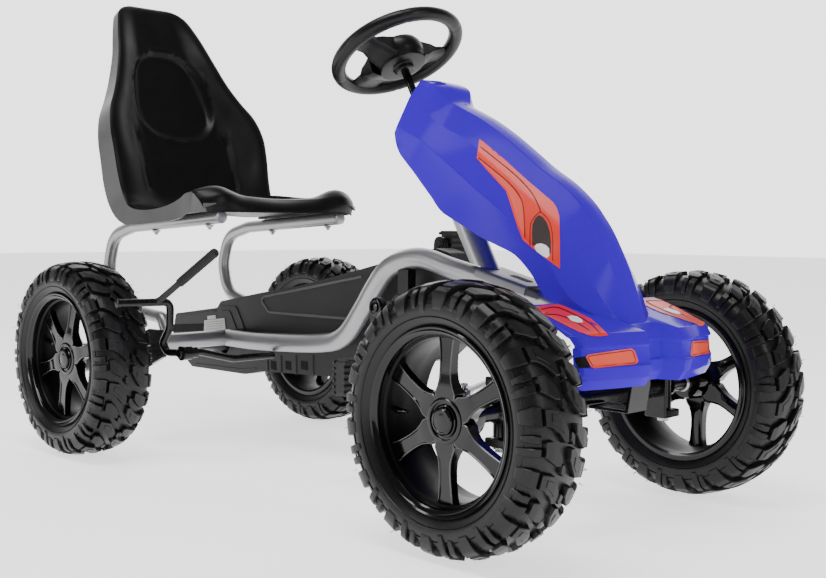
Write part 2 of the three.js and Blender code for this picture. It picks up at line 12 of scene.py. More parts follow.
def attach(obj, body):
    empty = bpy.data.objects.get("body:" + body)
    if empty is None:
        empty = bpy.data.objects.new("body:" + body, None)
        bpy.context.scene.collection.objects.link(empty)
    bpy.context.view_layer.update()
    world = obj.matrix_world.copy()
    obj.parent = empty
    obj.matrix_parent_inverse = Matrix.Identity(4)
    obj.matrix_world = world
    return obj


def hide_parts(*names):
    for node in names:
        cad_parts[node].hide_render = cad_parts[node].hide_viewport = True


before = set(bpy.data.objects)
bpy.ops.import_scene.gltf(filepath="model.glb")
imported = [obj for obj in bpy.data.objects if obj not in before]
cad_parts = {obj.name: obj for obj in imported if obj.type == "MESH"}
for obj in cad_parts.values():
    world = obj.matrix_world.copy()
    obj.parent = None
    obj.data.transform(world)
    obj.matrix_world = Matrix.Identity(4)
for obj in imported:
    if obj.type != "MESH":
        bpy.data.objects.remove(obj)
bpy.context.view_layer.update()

# Everything below is in millimetres from the front axle; AXLE_X puts it in the part frame.
AXLE_X = 449.1
WB, R, TW = 849.3, 160.0, 98.0
FT, RT = 484.9, 519.3
rnd = random.Random(7)

# ---------------------------------------------------------------- materials
def srgb(r, g, b):
    f = lambda c: (c / 255 / 12.92) if c / 255 <= 0.04045 else ((c / 255 + 0.055) / 1.055) ** 2.4
    return (f(r), f(g), f(b), 1.0)

def material(name, colour, rough=0.4, metal=0.0, coat=0.0, coat_rough=0.05, spread=0.08, scale=40.0, rough_spread=0.08,
             bump=0.0, bump_scale=400.0, spec=0.5, sheen=0.0, flake=False):
    m = bpy.data.materials.new(name)
    m.use_nodes = True
    nt = m.node_tree
    b = nt.nodes["Principled BSDF"]
    b.inputs["Metallic"].default_value = metal
    b.inputs["Coat Weight"].default_value = coat
    b.inputs["Coat Roughness"].default_value = coat_rough
    b.inputs["Specular IOR Level"].default_value = spec
    b.inputs["Sheen Weight"].default_value = sheen
    tc = nt.nodes.new("ShaderNodeTexCoord")
    no = nt.nodes.new("ShaderNodeTexNoise")
    no.inputs["Scale"].default_value = scale
    no.inputs["Detail"].default_value = 4
    nt.links.new(tc.outputs["Object"], no.inputs["Vector"])
    mix = nt.nodes.new("ShaderNodeMix")
    mix.data_type = "RGBA"
    mix.inputs["A"].default_value = tuple(max(0, c * (1 - spread)) for c in colour[:3]) + (1,)
    mix.inputs["B"].default_value = tuple(min(1, c * (1 + spread)) for c in colour[:3]) + (1,)
    nt.links.new(no.outputs["Fac"], mix.inputs["Factor"])
    nt.links.new(mix.outputs["Result"], b.inputs["Base Color"])
    mr = nt.nodes.new("ShaderNodeMapRange")
    mr.inputs["To Min"].default_value = max(0.02, rough - rough_spread)
    mr.inputs["To Max"].default_value = min(1, rough + rough_spread)
    nt.links.new(no.outputs["Fac"], mr.inputs["Value"])
    nt.links.new(mr.outputs["Result"], b.inputs["Roughness"])
    if bump:
        n2 = nt.nodes.new("ShaderNodeTexNoise")
        n2.inputs["Scale"].default_value = bump_scale
        n2.inputs["Detail"].default_value = 3
        nt.links.new(tc.outputs["Object"], n2.inputs["Vector"])
        bp = nt.nodes.new("ShaderNodeBump")
        bp.inputs["Strength"].default_value = bump
        bp.inputs["Distance"].default_value = 0.0006
        nt.links.new(n2.outputs["Fac"], bp.inputs["Height"])
        nt.links.new(bp.outputs["Normal"], b.inputs["Normal"])
    return m

SILVER = material("silver_paint", (0.33, 0.33, 0.34, 1), rough=0.34, metal=0.75, coat=0.12, coat_rough=0.12, spread=0.04, scale=14, rough_spread=0.03, bump=0.02, bump_scale=900)
STEEL = material("zinc_steel", (0.36, 0.36, 0.37, 1), rough=0.32, metal=1.0, spread=0.06, scale=60, rough_spread=0.04)
GREY = material("grey_plate", (0.20, 0.20, 0.205, 1), rough=0.42, metal=0.5, spread=0.05, bump=0.08)
BLACK_METAL = material("black_paint", (0.003, 0.003, 0.0033, 1), rough=0.26, coat=0.08, spread=0.15, spec=0.30)
SEAT = material("seat_plastic", (0.0022, 0.0022, 0.0024, 1), rough=0.36, spread=0.15, bump=0.10, bump_scale=1400, spec=0.22)
# lighter grey copy of the black seat plastic for the skirt strips and back faces: painted sheen of the side light
SEAT_SKIRT_SHEEN = material("seat_skirt_painted_sheen", (0.085, 0.085, 0.087, 1), rough=0.34, spread=0.06, bump=0.12, bump_scale=1400, spec=0.4)
GUARD = material("guard_plastic", (0.024, 0.024, 0.025, 1), rough=0.42, spread=0.10, bump=0.12, bump_scale=1100, spec=0.25)
# lighter grey copy of the guard plastic for the long rib: painted highlight along its edge
GUARD_RIB_HIGHLIGHT = material("guard_rib_painted_highlight", (0.075, 0.075, 0.077, 1), rough=0.40, spread=0.08)
# near-black sheet colour laid into the slot, pockets and recess: painted shade
RECESS_SHADE = material("painted_recess_shade", (0.002, 0.002, 0.002, 1), rough=0.7, spread=0.2, spec=0.2)
TYRE = material("tyre_rubber", (0.0045, 0.0045, 0.0047, 1), rough=0.36, spread=0.3, scale=22, bump=0.35, bump_scale=420, spec=0.30)
RIM = material("rim_gloss_black", (0.0025, 0.0025, 0.0028, 1), rough=0.11, coat=0.12, spread=0.15, spec=0.30)
# darker, duller copy of the rim black for the inside of the barrel: painted shade
BARREL_SHADE = material("rim_barrel_painted_shade", (0.0018, 0.0018, 0.002, 1), rough=0.34, spread=0.2, spec=0.12)
# lighter grey copy of the gloss black for spoke edges and the hub ring: painted highlight
RIM_EDGE_HIGHLIGHT = material("rim_edge_painted_highlight", (0.030, 0.030, 0.032, 1), rough=0.2, coat=0.5, spread=0.1)
BLUE = material("blue_moulding", (0.048, 0.0, 0.54, 1), rough=0.14, spread=0.03, scale=8, rough_spread=0.02, spec=0.12)
BLUE.node_tree.nodes["Principled BSDF"].inputs["IOR"].default_value = 1.25
RED = material("red_sticker", (0.78, 0.028, 0.008, 1), rough=0.34, coat=0.1, spread=0.05, spec=0.3)
RED_LIGHT = material("light_red_sticker", (0.83, 0.085, 0.045, 1), rough=0.34, coat=0.1, spread=0.04, spec=0.3)
LINE = material("sticker_line", (0.10, 0.006, 0.005, 1), rough=0.5, spread=0.1, spec=0.2)
BROWN = material("sticker_dark", (0.022, 0.010, 0.010, 1), rough=0.4, spread=0.1, spec=0.3)
# white for the sticker print and for the small ellipse on the bumper top, which is a painted highlight
WHITE_PRINT_AND_HIGHLIGHT = material("sticker_white_print_and_highlight", (0.86, 0.86, 0.86, 1), rough=0.4, spread=0.03)
LABEL = material("blank_label", (0.55, 0.55, 0.54, 1), rough=0.5, spread=0.04)
LABEL_LINE = material("label_rule", (0.16, 0.16, 0.16, 1), rough=0.5, spread=0.05)
WHEEL_BLACK = material("steering_wheel_black", (0.0015, 0.0015, 0.0015, 1), rough=0.38, coat=0.02, spread=0.2, bump=0.12, bump_scale=900, spec=0.26)
GRIP = material("grip_rubber", (0.004, 0.004, 0.004, 1), rough=0.6, spread=0.2, bump=0.3, spec=0.35)
PEDAL = material("pedal_plastic", (0.006, 0.006, 0.006, 1), rough=0.5, spread=0.2, bump=0.3, spec=0.4)

# ---------------------------------------------------------------- mesh helpers
def to_m(v):
    v = np.asarray(v, float)
    return np.stack([(v[:, 0] + AXLE_X) / 1000, v[:, 1] / 1000, v[:, 2] / 1000], 1)

class Part:
    """Collects vertices and faces in millimetres, each face with a material index."""
    def __init__(self):
        self.v, self.f, self.m = [], [], []
        self.n = 0
    def add(self, verts, faces, mat=0):
        verts = np.asarray(verts, float)
        self.v.append(verts)
        for k, f in enumerate(faces):
            self.f.append([i + self.n for i in f])
            self.m.append(mat if isinstance(mat, int) else mat[k])
        self.n += len(verts)
    def obj(self, name, mats, body, nodes=(), angle=35, bevel=0.0, seg=2):
        V = to_m(np.concatenate(self.v))
        me = bpy.data.meshes.new(name)
        me.from_pydata(V.tolist(), [], self.f)
        for mt in mats:
            me.materials.append(mt)
        me.polygons.foreach_set("material_index", self.m)
        me.update()
        bm = bmesh.new(); bm.from_mesh(me)
        bmesh.ops.recalc_face_normals(bm, faces=bm.faces)
        bm.to_mesh(me); bm.free()
        me.shade_smooth()
        me.set_sharp_from_angle(angle=math.radians(angle))
        o = bpy.data.objects.new(name, me)
        bpy.context.scene.collection.objects.link(o)
        if bevel:
            b = o.modifiers.new("bevel", "BEVEL")
            b.width = bevel / 1000; b.segments = seg; b.limit_method = "ANGLE"; b.angle_limit = math.radians(40)
            b.harden_normals = True
        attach(o, body)
        if nodes:
            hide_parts(*nodes)
        return o

def unit(v):
    v = np.asarray(v, float)
    return v / np.linalg.norm(v)

def round_path(pts, rad, n=8, fixed=False):
    pts = [np.asarray(p, float) for p in pts]
    rads = rad if isinstance(rad, (list, tuple)) else [rad] * (len(pts) - 2)
    out = [pts[0]]
    for i in range(1, len(pts) - 1):
        p = pts[i]; a = pts[i - 1] - p; b = pts[i + 1] - p
        la, lb = np.linalg.norm(a), np.linalg.norm(b); a /= la; b /= lb
        ang = math.acos(max(-1, min(1, float(a @ b))))
        r = rads[i - 1]
        if not fixed and (ang > math.pi - 0.01 or r <= 0):
            out.append(p); continue
        d = max(0.02, min(r / math.tan(min(ang, math.pi - 1e-4) / 2), la * 0.49, lb * 0.49))
        p0, p1 = p + a * d, p + b * d
        for s in range(n + 1):
            t = s / n
            out.append((1 - t) ** 2 * p0 + 2 * t * (1 - t) * p + t * t * p1)
    out.append(pts[-1])
    return np.array(out)

def resample(path, step):
    seg = np.linalg.norm(np.diff(path, axis=0), axis=1)
    s = np.concatenate([[0], np.cumsum(seg)])
    n = max(2, int(s[-1] / step))
    t = np.linspace(0, s[-1], n + 1)
    return np.stack([np.interp(t, s, path[:, k]) for k in range(3)], 1)

def catmull(P, k):
    """Centripetal-free Catmull-Rom through rows of P (any trailing shape), k steps per gap."""
    P = np.asarray(P, float)
    out = []
    n = len(P)
    for i in range(n - 1):
        p0 = P[max(i - 1, 0)]; p1 = P[i]; p2 = P[i + 1]; p3 = P[min(i + 2, n - 1)]
        for s in range(k):
            t = s / k
            out.append(0.5 * (2 * p1 + (p2 - p0) * t + (2 * p0 - 5 * p1 + 4 * p2 - p3) * t * t + (3 * p1 - p0 - 3 * p2 + p3) * t ** 3))
    out.append(P[-1])
    return np.array(out)

def frames(path):
    T = np.gradient(path, axis=0)
    T /= np.linalg.norm(T, axis=1)[:, None]
    up = np.array([0, 1.0, 0]) if abs(T[0][1]) < 0.8 else np.array([0, 0, 1.0])
    U, W = [], []
    for t in T:
        u = up - t * (up @ t); u /= np.linalg.norm(u); up = u
        U.append(u); W.append(np.cross(t, u))
    return np.array(U), np.array(W)

def tube(part, path, rad, sides=32, mat=0, ring=None, caps=True):
    """Round bar along path; rad is one number or one per point; flat caps at both ends when caps is set."""
    path = np.asarray(path, float)
    rads = np.full(len(path), rad, float) if np.isscalar(rad) else np.asarray(rad, float)
    U, W = frames(path)
    th = np.linspace(0, 2 * math.pi, sides, endpoint=False)
    V = []
    for p, u, w, r in zip(path, U, W, rads):
        V.append(p + r * (np.cos(th)[:, None] * u + np.sin(th)[:, None] * w))
    n = len(path)
    F = [[i * sides + j, i * sides + (j + 1) % sides, (i + 1) * sides + (j + 1) % sides, (i + 1) * sides + j] for i in range(n - 1) for j in range(sides)]
    if caps:
        F.append([j for j in range(sides)][::-1]); F.append([(n - 1) * sides + j for j in range(sides)])
    part.add(np.concatenate(V), F, mat)

def basis(axis, ref=None):
    a = unit(axis)
    r = np.array([0, 0, 1.0]) if ref is None else np.asarray(ref, float)
    if abs(a @ r) > 0.95 * np.linalg.norm(r): r = np.array([1.0, 0, 0])
    u = unit(r - a * (r @ a)); w = np.cross(a, u)
    return a, u, w

def lathe(part, prof, centre, axis, seg=64, mat=0, mats=None):
    """prof: (radius, along) points; ends on the axis or closed on itself."""
    a, u, w = basis(axis)
    c = np.asarray(centre, float)
    prof = [tuple(map(float, p)) for p in prof]
    closed = abs(prof[0][0] - prof[-1][0]) < 1e-6 and abs(prof[0][1] - prof[-1][1]) < 1e-6
    if closed: prof = prof[:-1]
    th = np.linspace(0, 2 * math.pi, seg, endpoint=False)
    V, idx = [], []
    n = 0
    for r, h in prof:
        if r < 1e-6:
            V.append(c + a * h); idx.append([n] * seg); n += 1
        else:
            for t in th: V.append(c + a * h + r * (math.cos(t) * u + math.sin(t) * w))
            idx.append(list(range(n, n + seg))); n += seg
    F, M = [], []
    m = len(prof)
    for i in range(m if closed else m - 1):
        A, B = idx[i], idx[(i + 1) % m]
        for j in range(seg):
            k = (j + 1) % seg
            q = [A[j], A[k], B[k], B[j]]
            q = [x for t, x in enumerate(q) if x not in q[:t]]
            if len(q) > 2:
                F.append(q); M.append(mats[i] if mats else mat)
    part.add(V, F, M)

def grid_faces(m, n, close_m=False):
    return [[i * n + j, i * n + j + 1, ((i + 1) % m) * n + j + 1, ((i + 1) % m) * n + j] for i in range(m if close_m else m - 1) for j in range(n - 1)]

def shell(part, G, t, mat=0, mat_in=None, flip=1, colmat=None):
    """G[m][n] surface thickened by t millimetres to its back; rims closed."""
    G = np.asarray(G, float); m, n = G.shape[:2]
    du = np.gradient(G, axis=0); dv = np.gradient(G, axis=1)
    N = np.cross(du, dv); N /= np.maximum(np.linalg.norm(N, axis=2), 1e-9)[:, :, None]
    B = G - N * t * flip
    V = np.concatenate([G.reshape(-1, 3), B.reshape(-1, 3)])
    F = grid_faces(m, n); K = m * n
    M = []
    for f in F:
        M.append(mat if colmat is None else colmat(f[0] // n, f[0] % n))
    back = [[i + K for i in f][::-1] for f in F]
    M += [mat if mat_in is None else mat_in] * len(back)
    F = F + back
    for i in range(m - 1):
        F.append([i * n, (i + 1) * n, (i + 1) * n + K, i * n + K]); M.append(mat if colmat is None else colmat(i, 0))
        F.append([i * n + n - 1, i * n + n - 1 + K, (i + 1) * n + n - 1 + K, (i + 1) * n + n - 1]); M.append(mat if colmat is None else colmat(i, n - 2))
    for j in range(n - 1):
        F.append([j, j + K, j + 1 + K, j + 1]); M.append(mat)
        a = (m - 1) * n + j
        F.append([a, a + 1, a + 1 + K, a + K]); M.append(mat)
    part.add(V, F, M)

def slab(part, outline, y0, y1, mat=0, holes=()):
    """Outline in x,z extruded between y0 and y1, with round holes."""
    pts = [Vector(p) for p in outline]; edges = [(i, (i + 1) % len(pts)) for i in range(len(pts))]
    loops = [list(range(len(pts)))]
    for hx, hz, hr in holes:
        s = len(pts); k = 28
        pts += [Vector((hx + hr * math.cos(2 * math.pi * i / k), hz + hr * math.sin(2 * math.pi * i / k))) for i in range(k)]
        edges += [(s + i, s + (i + 1) % k) for i in range(k)]; loops.append(list(range(s, s + k)))
    v, e, f, ov, oe, of = delaunay_2d_cdt(pts, edges, [], 0, 1e-4)
    def inside(p, L):
        c = False; q = [pts[i] for i in L]
        for i in range(len(q)):
            a, b = q[i], q[i - 1]
            if (a.y > p.y) != (b.y > p.y) and p.x < (b.x - a.x) * (p.y - a.y) / (b.y - a.y) + a.x: c = not c
        return c
    F = []
    for t in f:
        c = (v[t[0]] + v[t[1]] + v[t[2]]) / 3
        if inside(c, loops[0]) and not any(inside(c, L) for L in loops[1:]): F.append(list(t))
    n = len(v)
    V = [(p.x, y0, p.y) for p in v] + [(p.x, y1, p.y) for p in v]
    count = {}
    for t in F:
        for i in range(3):
            a, b = t[i], t[(i + 1) % 3]
            count.setdefault((min(a, b), max(a, b)), []).append((a, b))
    FF = [t for t in F] + [[i + n for i in t][::-1] for t in F]
    for k, s in count.items():
        if len(s) == 1:
            a, b = s[0]; FF.append([b, a, a + n, b + n])
    part.add(V, FF, mat)

def block(part, size, centre, rot=None, mat=0):
    s = np.array(size) / 2
    V = np.array([[x, y, z] for x in (-s[0], s[0]) for y in (-s[1], s[1]) for z in (-s[2], s[2])])
    if rot is not None: V = V @ np.asarray(rot).T
    part.add(V + np.array(centre), [[0, 1, 3, 2], [4, 6, 7, 5], [0, 4, 5, 1], [2, 3, 7, 6], [0, 2, 6, 4], [1, 5, 7, 3]], mat)

def hexbolt(part, centre, axis, across=13, h=5, mat=0, washer=True):
    a, u, w = basis(axis)
    c = np.asarray(centre, float)
    r = across / math.sqrt(3)
    if washer: lathe(part, [(0, 0), (r * 1.35, 0), (r * 1.35, 1.4), (0, 1.4)], c, a, 28, mat)
    V = []
    for h0, k in ((0.5, 1), (h - 1, 1), (h, 0.86)):
        V += [c + a * h0 + r * k * (math.cos(i * math.pi / 3) * u + math.sin(i * math.pi / 3) * w) for i in range(6)]
    F = [[i + 6 * j, (i + 1) % 6 + 6 * j, (i + 1) % 6 + 6 * j + 6, i + 6 * j + 6] for j in range(2) for i in range(6)]
    F.append([12 + i for i in range(6)])
    F.append([5 - i for i in range(6)])
    part.add(V, F, mat)

# ---------------------------------------------------------------- steering column frame
TILT = math.radians(60.2)
SW = np.array([-363.7, 0, 639.9])
DN = np.array([math.cos(TILT), 0, -math.sin(TILT)]); E1 = np.array([math.sin(TILT), 0, math.cos(TILT)]); YV = np.array([0, 1.0, 0])
def col(t, a=0.0, y=0.0):
    p = SW + DN * t + E1 * a
    return np.array([p[0], y, p[2]])

# ---------------------------------------------------------------- tyres
def tyre(tag, centre, side, phase, body):
    part = Part()
    c = np.array(centre, float)
    # carcass half profile: (along, radius), crown to bead
    half = [(0, 153.0), (12, 152.6), (24, 151.2), (34, 148.2), (41, 143.6), (45.4, 137), (47.4, 131), (48.0, 127), (47.6, 122.5), (46.0, 118), (43.2, 113.5), (41.2, 110.5), (39.6, 108.9), (38.4, 106.0), (37.6, 104.2)]
    prof = [(r, a) for a, r in half]
    full = [(r, -a) for r, a in prof[::-1]][:-1] + prof
    full = full + [full[0]]
    lathe(part, full, c, (0, side, 0), 120)
    # sidewall ridges
    for s in (-1, 1):
        for rr, aa in ((134.2, 46.9), (119.2, 47.0)):
            lathe(part, [(rr - 0.9, s * (aa - 1.2)), (rr, s * (aa + 0.75)), (rr + 0.9, s * (aa - 1.2)), (rr - 0.9, s * (aa - 1.2))], c, (0, side, 0), 120)
    arc = np.array([(0, 153.0), (12, 152.6), (24, 151.2), (34, 148.2), (41, 143.6), (45.4, 137), (47.4, 131), (48.0, 127), (47.6, 122.5)])
    L = np.concatenate([[0], np.cumsum(np.linalg.norm(np.diff(arc, axis=0), axis=1))])
    nrm = np.gradient(arc, axis=0); nrm = np.stack([-nrm[:, 1], nrm[:, 0]], 1); nrm /= np.linalg.norm(nrm, axis=1)[:, None]
    nrm[0] = (0, 1)
    def surf(s, theta, h, sg):
        q = abs(s)
        a, r = np.interp(q, L, arc[:, 0]), np.interp(q, L, arc[:, 1])
        na, nr = np.interp(q, L, nrm[:, 0]), np.interp(q, L, nrm[:, 1])
        a, r = a + na * h, r + nr * h
        if s < 0: a = -a
        y = sg * a
        return c + np.array([r * math.cos(theta), side * y, r * math.sin(theta)])
    def lug(sg, th0, st, h):
        """st: list of (s, centre angle, half width angle) in degrees; h height list or number"""
        rows = []
        S = np.array(st, float)
        fine = np.concatenate([np.linspace(S[i], S[i + 1], 4, endpoint=False) for i in range(len(S) - 1)] + [S[-1:]])
        k = len(fine)
        for i, (s, tc, hw) in enumerate(fine):
            hh = h if np.isscalar(h) else float(np.interp(s, S[:, 0], h))
            if i in (0, k - 1): hh_t = hh
            else: hh_t = hh
            off = 1.0 / 2.7
            e = 0.0 if 0 < i < k - 1 else (1.6 if i == 0 else -1.6)
            rows.append([surf(s - e, math.radians(th0 + tc - hw - off), -1.2, sg), surf(s, math.radians(th0 + tc - hw), hh_t - 0.9, sg),
                         surf(s + e * 0.6, math.radians(th0 + tc - hw + off * 0.8), hh_t, sg), surf(s + e * 0.6, math.radians(th0 + tc + hw - off * 0.8), hh_t, sg),
                         surf(s, math.radians(th0 + tc + hw), hh_t - 0.9, sg), surf(s - e, math.radians(th0 + tc + hw + off), -1.2, sg)])
        V = np.array(rows).reshape(-1, 3)
        F = grid_faces(k, 6)
        F.append([0, 1, 2, 3, 4, 5][::-1]); b = (k - 1) * 6; F.append([b, b + 1, b + 2, b + 3, b + 4, b + 5])
        part.add(V, F, 0)
    n = 14
    P = 360.0 / n
    hc = 6.6
    for i in range(n):
        for sg in (-1, 1):
            t0 = phase + i * P + (P / 2 if sg < 0 else 0)
            d = sg * 1.0
            # long bent lug from the crown to the shoulder
            lug(sg, t0, [(2.0, -3.0 * d, 2.0), (8, -1.0 * d, 4.0), (17, 3.4 * d, 4.4), (27, 5.2 * d, 3.4), (33, 5.6 * d, 3.2)], [hc, hc, hc, hc, 6.6])
            lug(sg, t0, [(35.0, 5.8 * d, 3.9), (42, 6.2 * d, 4.0), (52, 6.4 * d, 3.6), (60, 6.4 * d, 2.8)], [6.6, 6.0, 2.8, 0.8])
            # raised inset on the long lug
            lug(sg, t0, [(10, 0.4 * d, 1.9), (17, 3.4 * d, 2.2), (26, 5.1 * d, 1.7)], hc + 0.4)
            # shorter forked lug between
            lug(sg, t0 + P * 0.50, [(10, 0.4 * d, 1.8), (16, 2.2 * d, 3.4), (25, 5.0 * d, 4.2), (33, 6.0 * d, 3.0)], hc)
            lug(sg, t0 + P * 0.50 - 1.7, [(36, 6.2 * d, 1.7), (44, 6.0 * d, 1.9), (55, 5.8 * d, 1.9), (64, 5.6 * d, 1.6)], [6.4, 5.8, 2.4, 0.8])
            lug(sg, t0 + P * 0.50 + 3.2, [(37, 6.4 * d, 1.5), (44, 6.6 * d, 1.7), (52, 6.8 * d, 1.6), (58, 6.8 * d, 1.3)], [6.2, 5.4, 2.4, 0.9])
            # small centre block
            lug(sg, t0 + P * 0.36, [(1.5, -1.0 * d, 1.5), (5, 0.2 * d, 2.4), (9, 1.2 * d, 1.7)], hc - 0.6)
    # moulding hairs
    for i in range(46):
        th = rnd.uniform(0, 2 * math.pi); s = rnd.uniform(35, 50); sg = rnd.choice((-1, 1))
        p0 = surf(s, th, 6.5, sg); p1 = surf(s + rnd.uniform(-3, 3), th + rnd.uniform(-0.01, 0.01), 6.5 + rnd.uniform(3.0, 5.5), sg)
        tube(part, np.array([p0, (p0 + p1) / 2, p1]), [0.45, 0.4, 0.25], 5)
    part.obj("tyre_" + tag + "_look", [TYRE], body, ["tyre_" + tag], angle=28)

# ---------------------------------------------------------------- rims
def rim(tag, centre, side, phase, body):
    part = Part()
    c = np.array(centre, float)
    ax = (0, side, 0)
    out = [(97.6, -38), (98.2, -41.0), (101, -41.9), (106, -42.2), (108.2, -41.2), (108.3, -39.6), (106.6, -38.9), (104.2, -37.4), (103.4, -34), (103.4, -20), (96.8, -12), (96.8, 8), (103.2, 20), (103.2, 34),
           (104.2, 37.2), (106.4, 38.8), (108.4, 40.0), (108.7, 42.0), (107.2, 43.4), (105.0, 42.6), (103.2, 40.2), (101.4, 38.9), (99.6, 38.2), (98.6, 35.5), (98.2, 30), (95.2, 28.2), (94.6, 24), (93.8, 22), (93.4, 10), (93.2, -12), (97.6, -24), (97.6, -38)]
    # inner barrel faces take the darker barrel copy: painted shade inside the wheel
    lathe(part, out, c, ax, 96, mats=[2 if (i <= 0 or i >= len(out) - 9) else 0 for i in range(len(out) - 1)])
    # hub barrel with raised ring
    lathe(part, [(12, -20), (22, -18.5), (24, -10), (25.5, 8), (27.2, 20), (27.2, 25.8), (26.2, 27.6), (23.4, 28.4), (21.6, 28.0), (21.2, 26.4), (19.2, 26.2), (18.8, 28.6), (17.4, 29.2), (16.9, 27.5), (12, 27.3), (12, -20)], c, ax, 64)
    lathe(part, [(8.3 if tag[0] == "R" else 6.4, -24), (12.6, -21), (12.6, 27.4), (8.3 if tag[0] == "R" else 6.4, 27.4), (8.3 if tag[0] == "R" else 6.4, -24)], c, ax, 40)
    # six ribbed spokes
    rr = np.array([20, 26, 32, 39, 47, 57, 68, 79, 88, 94.6])
    hw = np.array([11.5, 15.0, 15.6, 12.4, 10.0, 9.2, 9.3, 10.0, 11.0, 12.6])
    top = np.array([26.4, 26.6, 26.8, 26.8, 26.7, 26.4, 25.8, 25.2, 24.8, 24.6])
    thick = np.array([24, 22, 20, 17, 15, 14, 13.4, 13, 12.8, 12.8])
    F = grid_faces(len(rr), 12)
    for k in range(6):
        a = math.radians(phase) + k * math.pi / 3
        d = np.array([math.cos(a), 0, math.sin(a)]); w = np.array([-math.sin(a), 0, math.cos(a)]); n = np.array([0, float(side), 0])
        V = []
        for r, h, t, q in zip(rr, hw, top, thick):
            pocket = 1.5 if r > 40 else 0.0
            prof = [(-h + 3.4, t - q), (-h, t - q * 0.86), (-h, t - 0.9), (-h + 0.7, t), (-h + 1.6, t), (-h + 2.6, t - pocket), (h - 2.6, t - pocket), (h - 1.6, t), (h - 0.7, t), (h, t - 0.9), (h, t - q * 0.86), (h - 3.4, t - q)]
            V += [c + d * r + w * p + n * z for p, z in prof]
        f = list(F)
        f += [[i * 12 + 11, i * 12, (i + 1) * 12, (i + 1) * 12 + 11] for i in range(len(rr) - 1)]
        f.append(list(range(12))); e = (len(rr) - 1) * 12; f.append([e + 11 - i for i in range(12)])
        M = []
        for q in f:
            j = q[0] % 12 if len(q) == 4 else 0
            # rounded spoke edges take the lighter edge grey: painted highlight
            M.append(1 if len(q) == 4 and j in (2, 3, 7, 8) and q[0] < len(rr) * 12 and (q[1] - q[0]) == 1 else 0)
        part.add(V, f, M)
    # valve
    va = math.radians(phase + 90)
    vd = np.array([math.cos(va), 0, math.sin(va)])
    base = c + vd * 93 + np.array([0, side * 12.0, 0])
    tube(part, np.array([base + vd * 2, base - vd * 6, base - vd * 9, base - vd * 17]), [4.2, 3.8, 2.8, 2.6], 14, 0)
    part.obj("rim_" + tag + "_look", [RIM, RIM_EDGE_HIGHLIGHT, BARREL_SHADE], body, ["rim_" + tag], angle=32)
    cap = Part()
    lathe(cap, [(0, 28.2), (15.6, 28.2), (16.0, 29.0), (15.8, 31.0), (14.6, 32.2), (12.8, 32.6), (12.2, 31.9), (10.4, 31.9), (8, 32.3), (0, 32.8)], c, ax, 56)
    cap.obj("hub_cap_" + tag + "_look", [RIM], body, ["hub_cap_" + tag], angle=30)

WHEELS = [("FR", (0, -FT / 2, R), -1, 3.0, 90, "front_wheel_R"), ("FL", (0, FT / 2, R), 1, 11.0, 90, "front_wheel_L"),
          ("RR", (-WB, -RT / 2, R), -1, 8.0, 76, "rear_axle_set"), ("RL", (-WB, RT / 2, R), 1, 15.0, 76, "rear_axle_set")]
for tag, c, s, ph, sp, body in WHEELS:
    tyre(tag, c, s, ph, body)
    rim(tag, c, s, sp, body)

